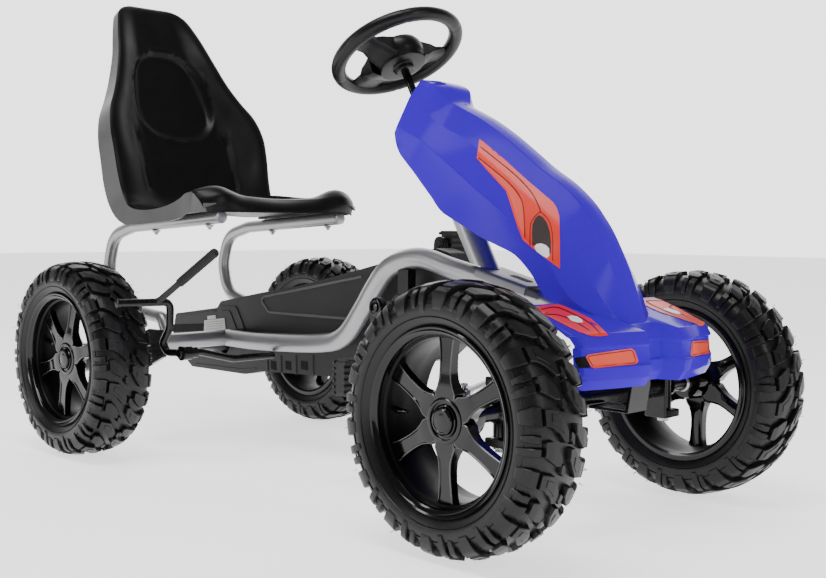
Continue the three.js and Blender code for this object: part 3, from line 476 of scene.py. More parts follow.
# ---------------------------------------------------------------- seat
def seat():
    S = [  # x, z, along x, along z, half width, rise, skirt
        (-627, 401.5, 0.0, 1, 152, 0, 2), (-628, 411, 0.0, 1, 156, 0.5, 3), (-633, 421, -0.4, 0.9, 160, 3, 8), (-642, 428.5, -0.7, 0.7, 163, 6, 26), (-656, 431.5, -1, 0.1, 165, 9.5, 40), (-680, 427, -1, -0.1, 164, 8, 38), (-704, 421, -1, -0.1, 163, 3, 33),
        (-740, 413, -1, -0.1, 163, 1, 28), (-776, 407, -1, -0.08, 163, 2, 25), (-812, 402.5, -1, -0.03, 163, 5, 26), (-842, 401.5, -1, 0.08, 162, 8, 29), (-866, 405, -0.95, 0.3, 161, 11, 36), (-882, 415, -0.75, 0.65, 161, 14, 44), (-896, 432, -0.5, 0.85, 161, 16, 50),
        (-910, 462, -0.42, 0.91, 163, 20, 52), (-925, 500, -0.415, 0.91, 165, 27, 50), (-941, 537, -0.415, 0.91, 165, 32, 47), (-957, 573, -0.415, 0.91, 156, 32, 43), (-972, 607, -0.415, 0.91, 137, 27, 38), (-987, 643, -0.415, 0.91, 120, 22, 32),
        (-1006, 690, -0.415, 0.91, 103, 18, 25), (-1022, 728, -0.415, 0.91, 92, 13, 21), (-1033, 755, -0.415, 0.91, 83, 8, 19), (-1041, 774, -0.43, 0.9, 75, 4, 17), (-1047, 786, -0.55, 0.8, 64, 1.5, 15), (-1053, 792.5, -0.85, 0.5, 50, 0.3, 11), (-1060, 794.6, -1.0, 0.1, 36, 0, 6)]
    tips = {0: (-629, 401.2), 1: (-636, 400.8), 2: (-643, 400.4), 3: (-650, 400.2), 4: (-658, 400), 5: (-680, 398)}
    T = []
    for i, (x, z, tx, tz, w, rise, skirt) in enumerate(S):
        L = math.hypot(tx, tz); nx, nz = tz / L, -tx / L
        tip = tips.get(i, (x + nx * (rise - skirt), z + nz * (rise - skirt)))
        T.append((x, z, tx, tz, w, rise, tip[0], tip[1]))
    S = catmull(np.array(T, float), 8)
    U = np.concatenate([[0, 0.25, 0.5, 0.8, 1.0], 1 + np.linspace(0, 1, 34)[1:]])
    U = np.concatenate([U, (4 - U)[:-1][::-1]])          # 0 tip, 1 rim edge, 2 middle, 3 rim edge, 4 tip
    G = np.zeros((len(S), len(U), 3))
    sm = lambda t: t * t * (3 - 2 * t)
    for i, (x, z, tx, tz, w, rise, qx, qz) in enumerate(S):
        L = math.hypot(tx, tz); nx, nz = tz / L, -tx / L
        ex, ez = x + nx * (rise - 2.0), z + nz * (rise - 2.0)      # rim edge
        for j, u in enumerate(U):
            side = -1 if u < 2 else 1
            q = u if u < 2 else 4 - u
            if q < 1:
                G[i, j] = (qx + (ex - qx) * q, side * (w + 1.2 * (1 - q)), qz + (ez - qz) * q)
                continue
            a = 2 - q                                              # 1 at the edge, 0 in the middle
            y = side * a * w
            d_edge = (1 - a) * w
            if d_edge < 7: h = rise - 2.0 * (1 - d_edge / 7) ** 2
            else:
                t = max(0.0, (a - 0.46) / (1 - 7 / w - 0.46))
                h = rise * sm(min(1, t))
            if z > 432:
                zc, hz = 621.5, 84.0
                v = (z - zc) / hz
                wy = 80.0 - 9.0 * v
                d = (abs(v) ** 2.5 + abs(y / wy) ** 2.5) ** (1 / 2.5)
                h -= 7.5 / (1 + math.exp((d - 0.965) * 60))
                h += 2.0 * math.exp(-((d - 1.035) / 0.032) ** 2)
                if 438 < z < 560:                                   # pleat from the recess down to the pan
                    yy = 92 + (z - 438) * 0.02
                    fade = min(1, (560 - z) / 12) * min(1, (z - 438) / 10)
                    h -= 3.0 * fade * math.exp(-((abs(y) - yy) / 3.2) ** 2)
                    h += 1.2 * fade * math.exp(-((abs(y) - yy - 7.5) / 3.6) ** 2)
                for zz in (470, 505, 672):                          # faint seams across
                    h -= 0.7 * math.exp(-((z - zz) / 1.6) ** 2) * (1 if abs(y) < 78 else 0)
            elif -862 < x < -640:
                h -= 5.5 * math.exp(-((abs(y) - 64) / 38) ** 2) * math.sin(math.pi * (x + 862) / 222) ** 0.7
                h += 1.0 * math.exp(-(y / 16) ** 2) * math.sin(math.pi * (x + 862) / 222)
            else:
                h += 0.0
            if z < 432 and x > -660:
                # two thigh humps across the front
                k = min(1, max(0, (z - 405) / 20))
                h += k * (7.0 * math.exp(-((abs(y) - 118) / 30) ** 2) - 6.0 * math.exp(-(y / 62) ** 2))
            G[i, j] = (x + nx * h, y, z + nz * h)
        if x > -690:                                               # front corners rounded in plan and down the edge
            k = min(1, (x + 690) / 45)
            for j, u in enumerate(U):
                a = min(1.0, abs(u - 2))
                t = max(0.0, (a - 0.74) / 0.26)
                G[i, j, 0] -= 11 * k * t * t
                if 1 <= u <= 3 and z > 415: G[i, j, 2] -= 9 * k * t * t
    part = Part()
    n = len(U)
    front = 4 * 8
    # skirt strips at both sides take the lighter grey: painted sheen on the same black plastic
    def cm(i, j):
        if j < 4 or j >= n - 5: return 1
        return 0
    shell(part, G, 3.0, mat=0, mat_in=1, flip=-1, colmat=cm)
    part.obj("seat_look", [SEAT, SEAT_SKIRT_SHEEN], "frame", ["seat_shell"], angle=42)
    pads = Part()
    top = [(-648, 424), (-700, 414), (-770, 401), (-830, 397.5), (-862, 399)]
    rt = lambda x: 405.2 + (x + 640) * 0.06
    for s in (-1, 1):
        y0, y1 = sorted((s * 113, s * 137))
        slab(pads, top + [(-862, rt(-862) + 0.5), (-648, rt(-648) + 0.5)], y0, y1)
    pads.obj("seat_pads_look", [SEAT], "frame", ["seat_shell"], bevel=1.5)
seat()

# ---------------------------------------------------------------- front cowl
def cowl_rows():
    # per station: band edge, shoulder crease, lower edge as (x, z, y)
    St = [((-274, 588, 39), (-281, 562, 55), (-287, 522, 73), (-289, 512, 76)), ((-259, 583, 38), (-270, 556, 56), (-272, 515, 73), (-284, 497, 78)), ((-247, 575, 35), (-258, 545, 55), (-258, 508, 73), (-276, 482, 78)),
          ((-236, 558, 24), (-240, 532, 50), (-242, 500, 72), (-262, 468, 78)), ((-224, 550, 18), (-224, 520, 48), (-228, 492, 72), (-249, 456, 78)), ((-200, 539, 18), (-198, 508, 48), (-203, 475, 72), (-235, 442, 78)),
          ((-174, 526, 18), (-168, 493, 48), (-172, 454, 72), (-214, 421, 78)), ((-137, 503.5, 18), (-136, 471, 48), (-146, 436, 72), (-193, 400, 78)), ((-102, 479, 18), (-104, 449, 48), (-117, 417, 72), (-157, 383, 78)),
          ((-74, 459, 18), (-77, 429, 48), (-88, 398, 72), (-122, 366.6, 78)), ((-38, 437, 18), (-46, 406, 48), (-60, 377, 72), (-90, 355, 78)), ((-9, 413, 18), (-19, 384, 48), (-33, 355, 73), (-62, 344, 78)),
          ((10, 391, 18), (-2, 364, 49), (-14, 340, 74), (-36, 323, 79)), ((23, 373, 18), (12, 348, 49), (0, 322, 75), (-20, 304, 80)), ((36, 350, 18), (27, 328, 49), (14, 304, 75), (-8, 291, 80)),
          ((48, 326, 18), (41, 306, 47), (30, 287, 70), (10, 284, 78)), ((63, 289, 18), (59, 278, 38), (52, 271, 54), (44, 271, 60)), ((76, 258, 16), (75, 256, 22), (73, 255, 28), (71, 255, 32))]
    rows = []
    for st in St:
        b, m, c, e = [np.array(p, float) for p in st]
        P = lambda p, s: np.array([p[0], s * p[2], p[1]])
        mid = np.array([b[0] + 1.0, 0, b[1] + 1.5])
        rows.append([P(e, -1), P(c, -1), P(m, -1), P(b, -1), mid, P(b, 1), P(m, 1), P(c, 1), P(e, 1)])
    rows = catmull(np.array(rows), 5)
    out = []
    for r in rows:
        # rounded corners across the section
        line = round_path(list(r), [2.2, 7, 3.0, 200, 3.0, 7, 2.2], 4, True)
        fine = []
        for i in range(len(line) - 1):
            fine += [line[i], (line[i] + line[i + 1]) / 2]
        fine.append(line[-1])
        out.append(fine)
    k = min(len(o) for o in out)
    assert all(len(o) == k for o in out)
    return np.array(out)

def bumper_rows():
    Y = [(-141, 82), (-139.5, 87), (-136.5, 91.5), (-131, 94.5), (-116, 98.5), (-100, 103), (-78, 109), (-56, 113), (-38, 115.6), (-35.6, 115.2), (-34, 113.4), (-26, 93), (-24, 90.6), (-21, 89.4), (0, 88)]
    Y = Y + [(-y, x) for y, x in Y[:-1][::-1]]
    rows = []
    for y, xf in Y:
        a = abs(y)
        k = max(0.0, a - 132) * 0.45
        rec = a < 30
        top = 262 if rec else 258
        rows.append([(8 + k, y, 286 - k * 1.2), (46, y, 273 - k), (xf - 12, y, top - 0.5 - k), (xf - 6.5, y, 256 - k), (xf + 1.5, y, 243), (xf + 1.8, y, 240.5), (xf - 1.0, y, 238.8), (xf + 0.6, y, 219), (xf + 3.4, y, 217), (xf + 2, y, 202), (xf - 5, y, 190.5 + k * 0.7)])
    R_ = np.array(rows, float)
    out = []
    for r in R_:
        line = round_path(list(r), [30, 8, 1.6, 1.6, 0.8, 0.8, 0.8, 2, 4], 3, True)
        out.append(line)
    out = np.array(out)
    return out

COWL = Part()
shell(COWL, cowl_rows(), 2.6)
shell(COWL, bumper_rows(), -2.6)
cowl_obj = COWL.obj("front_cowl_look", [BLUE], "frame", ["front_cowl"], angle=24)

# ---------------------------------------------------------------- camera of the view
F_PX, CX, CY = 1162.02, 413.0, 289.0
CAM = np.array([908.13, -1207.29, 377.68])
YAW, PITCH, ROLL = math.radians(45.661), math.radians(3.0), math.radians(0.347)
FWD = np.array([-math.sin(YAW) * math.cos(PITCH), math.cos(YAW) * math.cos(PITCH), -math.sin(PITCH)])
_r = unit(np.cross(FWD, [0, 0, 1])); _u = np.cross(_r, FWD)
RT_ = _r * math.cos(ROLL) + _u * math.sin(ROLL); UP_ = -_r * math.sin(ROLL) + _u * math.cos(ROLL)

# ---------------------------------------------------------------- stickers laid on the cowl
def bvh_of(part):
    V = np.concatenate(part.v)
    return BVHTree.FromPolygons([tuple(p) for p in V], part.f)
TREE = bvh_of(COWL)

def sticker(part, poly, lift, mat, mirror=True, step=2.0):
    """poly: outline in the camera's picture plane, laid on the moulding under it; mirrored to the other side."""
    poly = np.array(poly, float)
    pts = []
    n = len(poly)
    for i in range(n):
        a, b = poly[i], poly[(i + 1) % n]
        k = max(1, int(np.linalg.norm(b - a) / step))
        pts += [a + (b - a) * t / k for t in range(k)]
    nb = len(pts)
    lo, hi = poly.min(0), poly.max(0)
    def inside(p):
        c = False
        for i in range(n):
            a, b = poly[i], poly[i - 1]
            if (a[1] > p[1]) != (b[1] > p[1]) and p[0] < (b[0] - a[0]) * (p[1] - a[1]) / (b[1] - a[1]) + a[0]: c = not c
        return c
    x = lo[0] + step / 2
    while x < hi[0]:
        y = lo[1] + step / 2
        while y < hi[1]:
            if inside((x, y)) and min(np.hypot(*(q - np.array([x, y]))) for q in pts[:nb]) > step * 0.45: pts.append(np.array([x, y]))
            y += step
        x += step
    v, e, f, *_ = delaunay_2d_cdt([Vector(p) for p in pts], [(i, (i + 1) % nb) for i in range(nb)], [], 0, 1e-5)
    P3, ok = [], []
    for p in v:
        d = FWD + RT_ * (p.x - CX) / F_PX - UP_ * (p.y - CY) / F_PX
        d = unit(d)
        hit, nn, idx, dist = TREE.ray_cast(Vector(CAM), Vector(d))
        if hit is None: P3.append((0, 0, 0)); ok.append(False); continue
        nn = np.array(nn); nn = nn if nn @ d < 0 else -nn
        P3.append(np.array(hit) + nn * lift); ok.append(True)
    F = [list(t) for t in f if all(ok[i] for i in t) and inside((v[t[0]] + v[t[1]] + v[t[2]]) / 3)]
    P3 = np.array([np.asarray(p, float) for p in P3])
    part.add(P3, F, mat)
    if mirror:
        Q = P3.copy(); Q[:, 1] *= -1
        part.add(Q, [t[::-1] for t in F], mat)

def strip(line, w):
    line = np.array(line, float)
    T = np.gradient(line, axis=0); T /= np.linalg.norm(T, axis=1)[:, None]
    N = np.stack([-T[:, 1], T[:, 0]], 1) * w / 2
    return np.concatenate([line + N, (line - N)[::-1]])

def smooth_line(pts, k=5):
    return catmull(np.array(pts, float), k)

ST = Part()
side_poly = [(479.5, 139), (476.6, 158), (486, 169), (496, 180), (506, 191), (510, 203), (514, 216), (518, 228), (523, 240), (531, 247), (545, 258), (560, 269), (560, 240), (559.4, 216), (557, 208), (553, 202), (541, 192), (527, 180), (505, 160), (485, 143)]
sticker(ST, side_poly, 0.35, 0)
sticker(ST, [(479.6, 160.6), (487, 168), (497, 179), (507, 190), (512, 202), (516, 217), (520, 229), (524.4, 238), (524, 218), (522.4, 203), (514, 190), (503, 178), (490, 167), (482, 160)], 0.5, 1)
sticker(ST, strip(smooth_line([(480.5, 147), (493, 157), (515, 175), (531, 192), (539, 207), (540.5, 213)]), 0.9), 0.62, 2, step=1.2)
sticker(ST, strip(smooth_line([(478.6, 158), (491, 168), (511, 185), (521.5, 200), (524.2, 218), (525, 238)]), 0.9), 0.62, 2, step=1.2)
sticker(ST, strip(smooth_line([(540, 212), (534, 218), (530.5, 226), (530.2, 246)]), 0.8), 0.62, 2, step=1.2)
sticker(ST, strip(smooth_line([(541, 212), (549, 221), (552.6, 236), (552.6, 261)]), 0.7), 0.62, 2, step=1.2)
sticker(ST, [(532.4, 245), (532, 234), (532.6, 225), (535, 219), (538.6, 215.4), (542.5, 217), (546.6, 222), (549.8, 231), (551, 242), (551, 254), (547, 250), (540, 246.5)], 0.75, 3)
sticker(ST, [(534.8, 247.4), (536.4, 244.6), (541, 243.6), (546, 245.4), (549.2, 249), (549.4, 256), (547, 258.4), (543.5, 256.4), (537, 251.6)], 0.95, 4)
# bumper top
sticker(ST, [(535.5, 306.8), (557, 304.4), (563, 305.8), (577, 312.4), (591.4, 319.3), (600, 327), (608.4, 335.4), (600, 336.6), (591.4, 336.4), (580, 332.9), (570, 328), (560, 322.9), (543, 314.3)], 0.7, 0, step=1.3)
sticker(ST, strip(smooth_line([(541, 310), (556, 307.8), (574, 315), (590, 324), (600, 334)]), 0.8), 1.0, 2, step=1.0)
sticker(ST, strip(smooth_line([(546, 315), (560, 316), (576, 323), (589, 331)]), 0.7), 1.0, 2, step=1.0)
# white ellipse: painted highlight of a reflection, not print
sticker(ST, [(567, 317.5), (571, 316.4), (577, 317.2), (582, 320.6), (582.6, 323.2), (577, 323.4), (571, 321.4)], 1.2, 5, step=1.0)
# front lamps
# near-black patch left of the lamp: painted shade of the recess
sticker(ST, [(574, 358), (586, 356.4), (590.5, 367.4), (578.5, 368.6)], 0.3, 6)
sticker(ST, [(585.6, 357), (588, 354.6), (610, 351.2), (631.5, 348.4), (634.4, 350.4), (638.2, 361), (636, 364.4), (614, 366.6), (594, 368.6), (591, 367.2)], 0.45, 7)
sticker(ST, strip([(587.4, 357.4), (589.6, 356), (610, 353), (630.6, 350.3), (632.6, 351.6), (635.8, 360.8), (634.4, 362.7), (614, 364.8), (594.6, 366.8), (592.2, 365.4), (587.4, 357.4)], 0.7), 0.62, 2, step=1.5)
ST.obj("stickers_look", [RED, RED_LIGHT, LINE, BROWN, WHITE_PRINT_AND_HIGHLIGHT, WHITE_PRINT_AND_HIGHLIGHT, RECESS_SHADE, RED_LIGHT], "frame", angle=60)

# ---------------------------------------------------------------- frame tubes
SPINE = [(-798, 0, 181), (-704, 0, 181), (-543, 0, 190), (-483, 0, 206), (-441, 0, 249), (-411, 0, 287), (-381, 0, 316), (-342, 0, 331), (-302, 0, 333), (-251, 0, 321), (-203, 0, 310.5), (-118, 0, 288), (-67, 0, 277), (-30, 0, 258), (-4, 0, 225), (0, 0, 172)]
sp = resample(catmull(np.array(SPINE, float), 10), 6)
part = Part()
tube(part, sp, 15.4, 40)
part.obj("main_spine_look", [SILVER], "frame", ["main_spine_tube"])
part = Part()
tube(part, resample(np.array([(-800, -136.6, 181), (-800, 136.6, 181)], float), 12), 13.9, 36)
part.obj("rear_cross_tube_look", [SILVER], "frame", ["rear_cross_tube"])
for s, n in ((-1, "R"), (1, "L")):
    y = s * 125
    pts = [(-640, y, 394), (-905, y, 378), (-972, y, 362), (-991, y, 306), (-976, y, 250), (-900, y, 229), (-815, y, 222), (-800, y, 200)]
    path = resample(round_path(pts, [70, 60, 60, 60, 60, 14], 14), 5)
    part = Part()
    tube(part, path, 10.9, 32)
    # closed end
    lathe(part, [(0, 0), (10.9, 0), (10.6, 1.6), (9.0, 2.4), (0, 2.6)], (-640, y, 394), (1, 0, 0.06), 32)
    part.obj("seat_tube_%s_look" % n, [SILVER], "frame", ["seat_tube_" + n])
    # through bolts under the rails
    for tag, bx in (("front", -672), ("rear", -832)):
        zt = 405.2 + (bx + 640) * 0.06
        p = Part()
        tube(p, np.array([(bx, y, zt - 22.5), (bx, y, zt - 30)], float), 2.8, 16)
        hexbolt(p, (bx, y, zt - 22.2), (0, 0, -1), 9.5, 4.5)
        p.obj("seat_bolt_%s_%s_look" % (tag, n), [STEEL], "frame", ["seat_bolt_%s_%s" % (tag, n)])

# mast
part = Part()
ga, gb = np.array([-203, 310.5]), np.array([-67, 277.0])
gd = (gb - ga) / np.linalg.norm(gb - ga); gn = np.array([-gd[1], gd[0]])
def foot(aa):
    # distance down the column where a line aa in front of its axis meets the plate's top
    p0 = col(0, aa)
    return (20.6 - ((p0[0] - ga[0]) * gn[0] + (p0[2] - ga[1]) * gn[1])) / (DN[0] * gn[0] + DN[2] * gn[1])
V, K = [], 56
for r, top_t in ((18.0, 175.0), (14.6, 175.0)):
    for k in range(K):
        q = 2 * math.pi * k / K
        aa, yy = r * math.cos(q), r * math.sin(q)
        V += [col(top_t, aa, yy), col(foot(aa), aa, yy)]
F = []
for k in range(K):
    j = (k + 1) % K; o = 2 * K
    F += [[2 * k, 2 * k + 1, 2 * j + 1, 2 * j], [o + 2 * k, o + 2 * j, o + 2 * j + 1, o + 2 * k + 1], [2 * k, 2 * j, o + 2 * j, o + 2 * k], [2 * k + 1, o + 2 * k + 1, o + 2 * j + 1, 2 * j + 1]]
part.add(V, F, 0)
part.obj("steering_mast_look", [SILVER], "frame", ["steering_mast"])
# gusset plate with a turned-down edge and a slot
part = Part()
def gp(s, h, y): q = ga + gd * s + gn * (16.1 + h); return (q[0], y, q[1])
xs = np.linspace(26, 118, 12)
rows = []
for s in xs:
    rows.append([gp(s, -8, -31), gp(s, 0, -30.4), gp(s, 3, -28.6), gp(s, 3.9, -25), gp(s, 3.9, -9), gp(s, 3.9, 9), gp(s, 3.9, 25), gp(s, 3, 28.6), gp(s, 0, 30.4), gp(s, -8, 31)])
shell(part, rows, 3.0)
part.obj("steering_gusset_look", [GREY], "frame", ["steering_gusset"], angle=50)
# the slot is a flat near-black polygon on the plate, not a cut: painted shade
part = Part()
sl = [gp(66, 4.15, -5), gp(70, 4.15, -7.5), gp(98, 4.15, -7.5), gp(102, 4.15, -5), gp(102, 4.15, 5), gp(98, 4.15, 7.5), gp(70, 4.15, 7.5), gp(66, 4.15, 5)]
part.add(sl, [list(range(8))], 0)
part.obj("gusset_slot_look", [RECESS_SHADE, STEEL], "frame")

# bottom bracket, front beam, forks, rear brackets
part = Part()
lathe(part, [(9.4, -18), (15, -18), (17, -16), (17, 16), (15, 18), (9.4, 18), (9.4, -18)], (-341, 0, 262), (0, 1, 0), 48)
block(part, (22, 16, 40), (-341, 0, 296))
part.obj("bottom_bracket_look", [BLACK_METAL], "frame", ["bottom_bracket"])
part = Part()
tube(part, resample(np.array([(0, -147.6, R), (0, 147.6, R)], float), 14), 13.9, 36)
part.obj("front_axle_beam_look", [BLACK_METAL], "frame", ["front_axle_beam"])
for s, n in ((-1, "R"), (1, "L")):
    y = s * 170
    part = Part()
    block(part, (34, 4, 84), (1, s * 150, R)); block(part, (34, 34, 11), (1, s * 167, 196.4)); block(part, (34, 34, 11), (1, s * 167, 123.6))
    part.obj("kingpin_fork_%s_look" % n, [BLACK_METAL], "frame", ["kingpin_fork_" + n], bevel=2.0)
    part = Part()
    tube(part, np.array([(0, y, 112), (0, y, 160), (0, y, 208)], float), 4.9, 20)
    hexbolt(part, (0, y, 202.4), (0, 0, 1), 15, 6); hexbolt(part, (0, y, 117.6), (0, 0, -1), 15, 6)
    part.obj("kingpin_%s_look" % n, [STEEL], "frame", ["kingpin_" + n])
    # knuckle
    part = Part()
    lathe(part, [(5.5, -30.4), (10, -30.4), (11, -29.4), (11, 29.4), (10, 30.4), (5.5, 30.4), (5.5, -30.4)], (0, y, R), (0, 0, 1), 40)
    lathe(part, [(0, 8.6), (13, 8.6), (13, 14), (10, 16), (10, 44), (12.6, 46), (12.6, 48.5), (6, 48.6), (6, 98.4), (5.2, 99.2), (0, 99.2)], (0, y, R), (0, s, 0), 36, mats=[0, 0, 0, 0, 1, 1, 1, 1, 1, 1])
    block(part, (58, 13, 8), (-37, s * 168, R)); lathe(part, [(0, -4), (9, -4), (9, 4), (0, 4)], (-66, s * 166, R), (0, 0, 1), 32)
    tube(part, np.array([(-66, s * 166, R + 3), (-66, s * 166, R + 26.8)], float), 2.9, 18, 1)
    tube(part, np.array([(-66, s * 166, R + 23.6), (-66, s * 166, R + 27)], float), 4.6, 6, 1)
    part.obj("steering_knuckle_%s_look" % n, [BLACK_METAL, STEEL], "knuckle_" + n, ["steering_knuckle_" + n])
    # rear bracket
    part = Part()
    ya, yb = sorted((s * 137, s * 145))
    slab(part, [(-872, 136), (-850, 130), (-782, 158), (-782, 203), (-826, 203), (-872, 186)], ya, yb, 0, [(-WB, R, 8.6)])
    lathe(part, [(8.7, 0), (17, 0), (18, 1), (18, 3), (14, 4.4), (8.7, 4.4), (8.7, 0)], (-WB, s * 145.1, R), (0, s, 0), 40)
    part.obj("axle_bracket_%s_look" % n, [BLACK_METAL], "frame", ["axle_bracket_" + n], bevel=1.4)
    # tie rod
    part = Part()
    pin = col(512 if s < 0 else 521.7, -35); o = np.array([-67.8, s * 166, 175.0])
    d = unit(o - pin)
    lathe(part, [(3.4, -3), (7.4, -3), (8, -2.2), (8, 2.2), (7.4, 3), (3.4, 3), (3.4, -3)], pin, DN, 32)
    lathe(part, [(6, -4), (9, -4), (9.5, -3), (9.5, 3), (9, 4), (6, 4), (6, -4)], o, (0, 0, 1), 32)
    tube(part, np.array([pin + d * 7, pin + d * 20, pin + d * 22, o - d * 26, o - d * 24, o - d * 8.6]), [5.2, 5.2, 4.0, 4.0, 5.4, 5.4], 20)
    part.obj("tie_rod_%s_look" % n, [STEEL], "tie_rod_%s_body" % n, ["tie_rod_" + n])

part = Part()
slab(part, [(14.6, 150), (74, 150), (80, 184), (80, 232), (76, 232), (76, 186), (70, 154), (14.6, 154)], -20, 20)
part.obj("cowl_bracket_look", [BLACK_METAL], "frame", ["cowl_bracket"], bevel=0.8)

# ---------------------------------------------------------------- steering column and wheel
part = Part()
tube(part, np.array([col(20), col(120), col(300), col(500.6)]), 6.2, 28)
part.obj("steering_column_look", [RIM], "steering", ["steering_column"])
part = Part()
Rm = np.stack([E1, YV, -DN], 1)
block(part, (36, 24, 7.2), col(504.8, -17.5), Rm)
lathe(part, [(0, -3.6), (12, -3.6), (12, 3.6), (0, 3.6)], col(504.8, -35), DN, 32)
lathe(part, [(0, -3.6), (17, -3.6), (17, 3.6), (0, 3.6)], col(504.8), DN, 36)
tube(part, np.array([col(503, -35), col(526.3, -35)]), 2.9, 16)
part.obj("pitman_arm_look", [STEEL], "steering", ["pitman_arm"], bevel=1.0)

def wheel_point(ang, r, h):
    """ang in degrees from the driver's right towards the top, h along the column upward."""
    a = math.radians(ang)
    return SW - YV * (math.cos(a) * r) + E1 * (math.sin(a) * r) - DN * h
def steering_wheel():
    part = Part()
    seg, ring = 144, 20
    V = []
    for i in range(seg):
        ang = i * 360 / seg
        for j in range(ring):
            q = 2 * math.pi * j / ring
            # thicker grips at the sides, thinner at the top and bottom
            k = 1.0 + 0.05 * math.cos(math.radians(2 * ang))
            d = min(abs((ang - c + 180) % 360 - 180) for c in (57, 123, 232, 308))
            groove = 0.7 * math.exp(-(d / 1.0) ** 2)
            rr, hh = (10.6 * k - groove), (10.4 * k - groove)
            V.append(wheel_point(ang, 92.8 + rr * math.cos(q), hh * math.sin(q)))
    F = [[i * ring + j, i * ring + (j + 1) % ring, ((i + 1) % seg) * ring + (j + 1) % ring, ((i + 1) % seg) * ring + j] for i in range(seg) for j in range(ring)]
    part.add(V, F, 0)
    # dished spokes: side pair and the broad lower one
    def spoke(a0, wa0, wa1, k=9):
        rows = []
        for r, wd, top, bot in ((30, wa0, 9, -24), (40, wa0 * 0.92, 8, -21), (52, wa0 * 0.80 + wa1 * 0.10, 6.5, -14), (64, wa1 * 0.92, 5, -9), (76, wa1, 4.2, -6.4), (87, wa1 * 1.25, 3.8, -5.4)):
            row = []
            for t in np.linspace(-1, 1, k):
                row.append((t, top - 2.6 * abs(t) ** 6)); 
            for t in np.linspace(1, -1, k):
                row.append((t, bot + 5.0 * abs(t) ** 4))
            c = math.radians(a0)
            rd = -YV * math.cos(c) + E1 * math.sin(c); tn = YV * math.sin(c) + E1 * math.cos(c)
            rows.append([SW + rd * r + tn * (t * wd) - DN * h for t, h in row])
        G = np.array(rows); m, n = G.shape[:2]
        f = grid_faces(m, n) + [[i * n + n - 1, i * n, (i + 1) * n, (i + 1) * n + n - 1] for i in range(m - 1)]
        f.append(list(range(n))); e = (m - 1) * n; f.append([e + n - 1 - i for i in range(n)])
        part.add(G.reshape(-1, 3), f, 0)
    spoke(7, 22, 17); spoke(173, 22, 17); spoke(270, 34, 26)
    # hub: dome on top, stepped boss below
    lathe(part, [(0, 15), (14, 14.4), (26, 12), (34, 8), (37.5, 2), (38.5, -6), (37, -15), (35, -20), (35.4, -24), (34.6, -26.2), (30, -27), (17, -27.4), (15.5, -29), (14.8, -34), (13.6, -35.4), (6.6, -35.6), (6.6, -20), (0, -20)], SW, -DN, 72)
    # thin ring on the hub in the lighter edge grey: painted highlight
    lathe(part, [(20, 14.0), (20.6, 14.6), (21.2, 14.0), (20.6, 12), (20, 14.0)], SW, -DN, 60, 1)
    part.obj("steering_wheel_look", [WHEEL_BLACK, RIM_EDGE_HIGHLIGHT], "steering", ["steering_wheel"], angle=30)
steering_wheel()

# ---------------------------------------------------------------- crank and pedals
CR = (-341, 262)
part = Part()
tube(part, np.array([(CR[0], -61.4, CR[1]), (CR[0], 0, CR[1]), (CR[0], 77.4, CR[1])], float), 8, 28)
for y, s in ((-61.6, -1), (77.6, 1)):
    lathe(part, [(0, 0), (12.4, 0), (13, 0.8), (13, 2.6), (11.6, 3.4), (9.6, 3.4), (9.2, 2.4), (7.6, 2.4), (7.2, 5.4), (4.8, 5.8), (4.4, 3.6), (0, 3.6)], (CR[0], y, CR[1]), (0, s, 0), 40, mats=[1, 1, 1, 1, 1, 0, 1, 1, 1, 1, 1])
part.obj("crank_shaft_look", [STEEL, RIM], "crank", ["crank_shaft"])
for n, y0, y1, dz, p0, p1 in (("R", -62, -53, -92, -66, -134), ("L", 68.5, 77.5, 92, 81.5, 149.5)):
    part = Part()
    yc = (y0 + y1) / 2; s = 1 if p1 > 0 else -1
    out = []
    k = 14
    sg = 1 if dz > 0 else -1
    for i in range(k + 1):
        a = math.pi + math.pi * i / k
        out.append((CR[0] + 14.6 * math.cos(a) * sg, CR[1] + 14.6 * math.sin(a) * sg))
    for i in range(k + 1):
        a = math.pi * i / k
        out.append((CR[0] + 11.4 * math.cos(a) * sg, CR[1] + dz + 11.4 * math.sin(a) * sg))
    slab(part, out, y0, y1, 0, [(CR[0], CR[1], 8.3)])
    tube(part, np.array([(CR[0], yc, CR[1] + dz), (CR[0], p1 - s * 6, CR[1] + dz)], float), 5, 20, 1)
    hexbolt(part, (CR[0], y0 if s > 0 else y1, CR[1] + dz), (0, -s, 0), 12, 2.8, 0)
    part.obj("crank_arm_%s_look" % n, [BLACK_METAL, STEEL], "crank", ["crank_arm_" + n], bevel=1.4)
    part = Part()
    zc = CR[1] + dz - 6; ym = (p0 + p1) / 2; L = abs(p1 - p0)
    block(part, (20, L - 4, 46), (CR[0], ym, zc))
    for sx in (-1, 1):
        for i in range(6):
            block(part, (4.4, L, 4.6), (CR[0] + sx * 11.6, ym, zc - 22 + i * 8.8))
    for sz in (-1, 1):
        for i in range(5):
            block(part, (26, 7, 4.6), (CR[0], ym - L / 2 + 7 + i * (L - 14) / 4, zc + sz * 23.6))
    lathe(part, [(5.5, 0), (10.5, 0), (11.5, 1), (11.5, 4), (5.5, 4), (5.5, 0)], (CR[0], p0, CR[1] + dz), (0, s, 0), 32)
    part.obj("pedal_%s_look" % n, [PEDAL], "pedal_%s_body" % n, ["pedal_" + n], bevel=1.2)

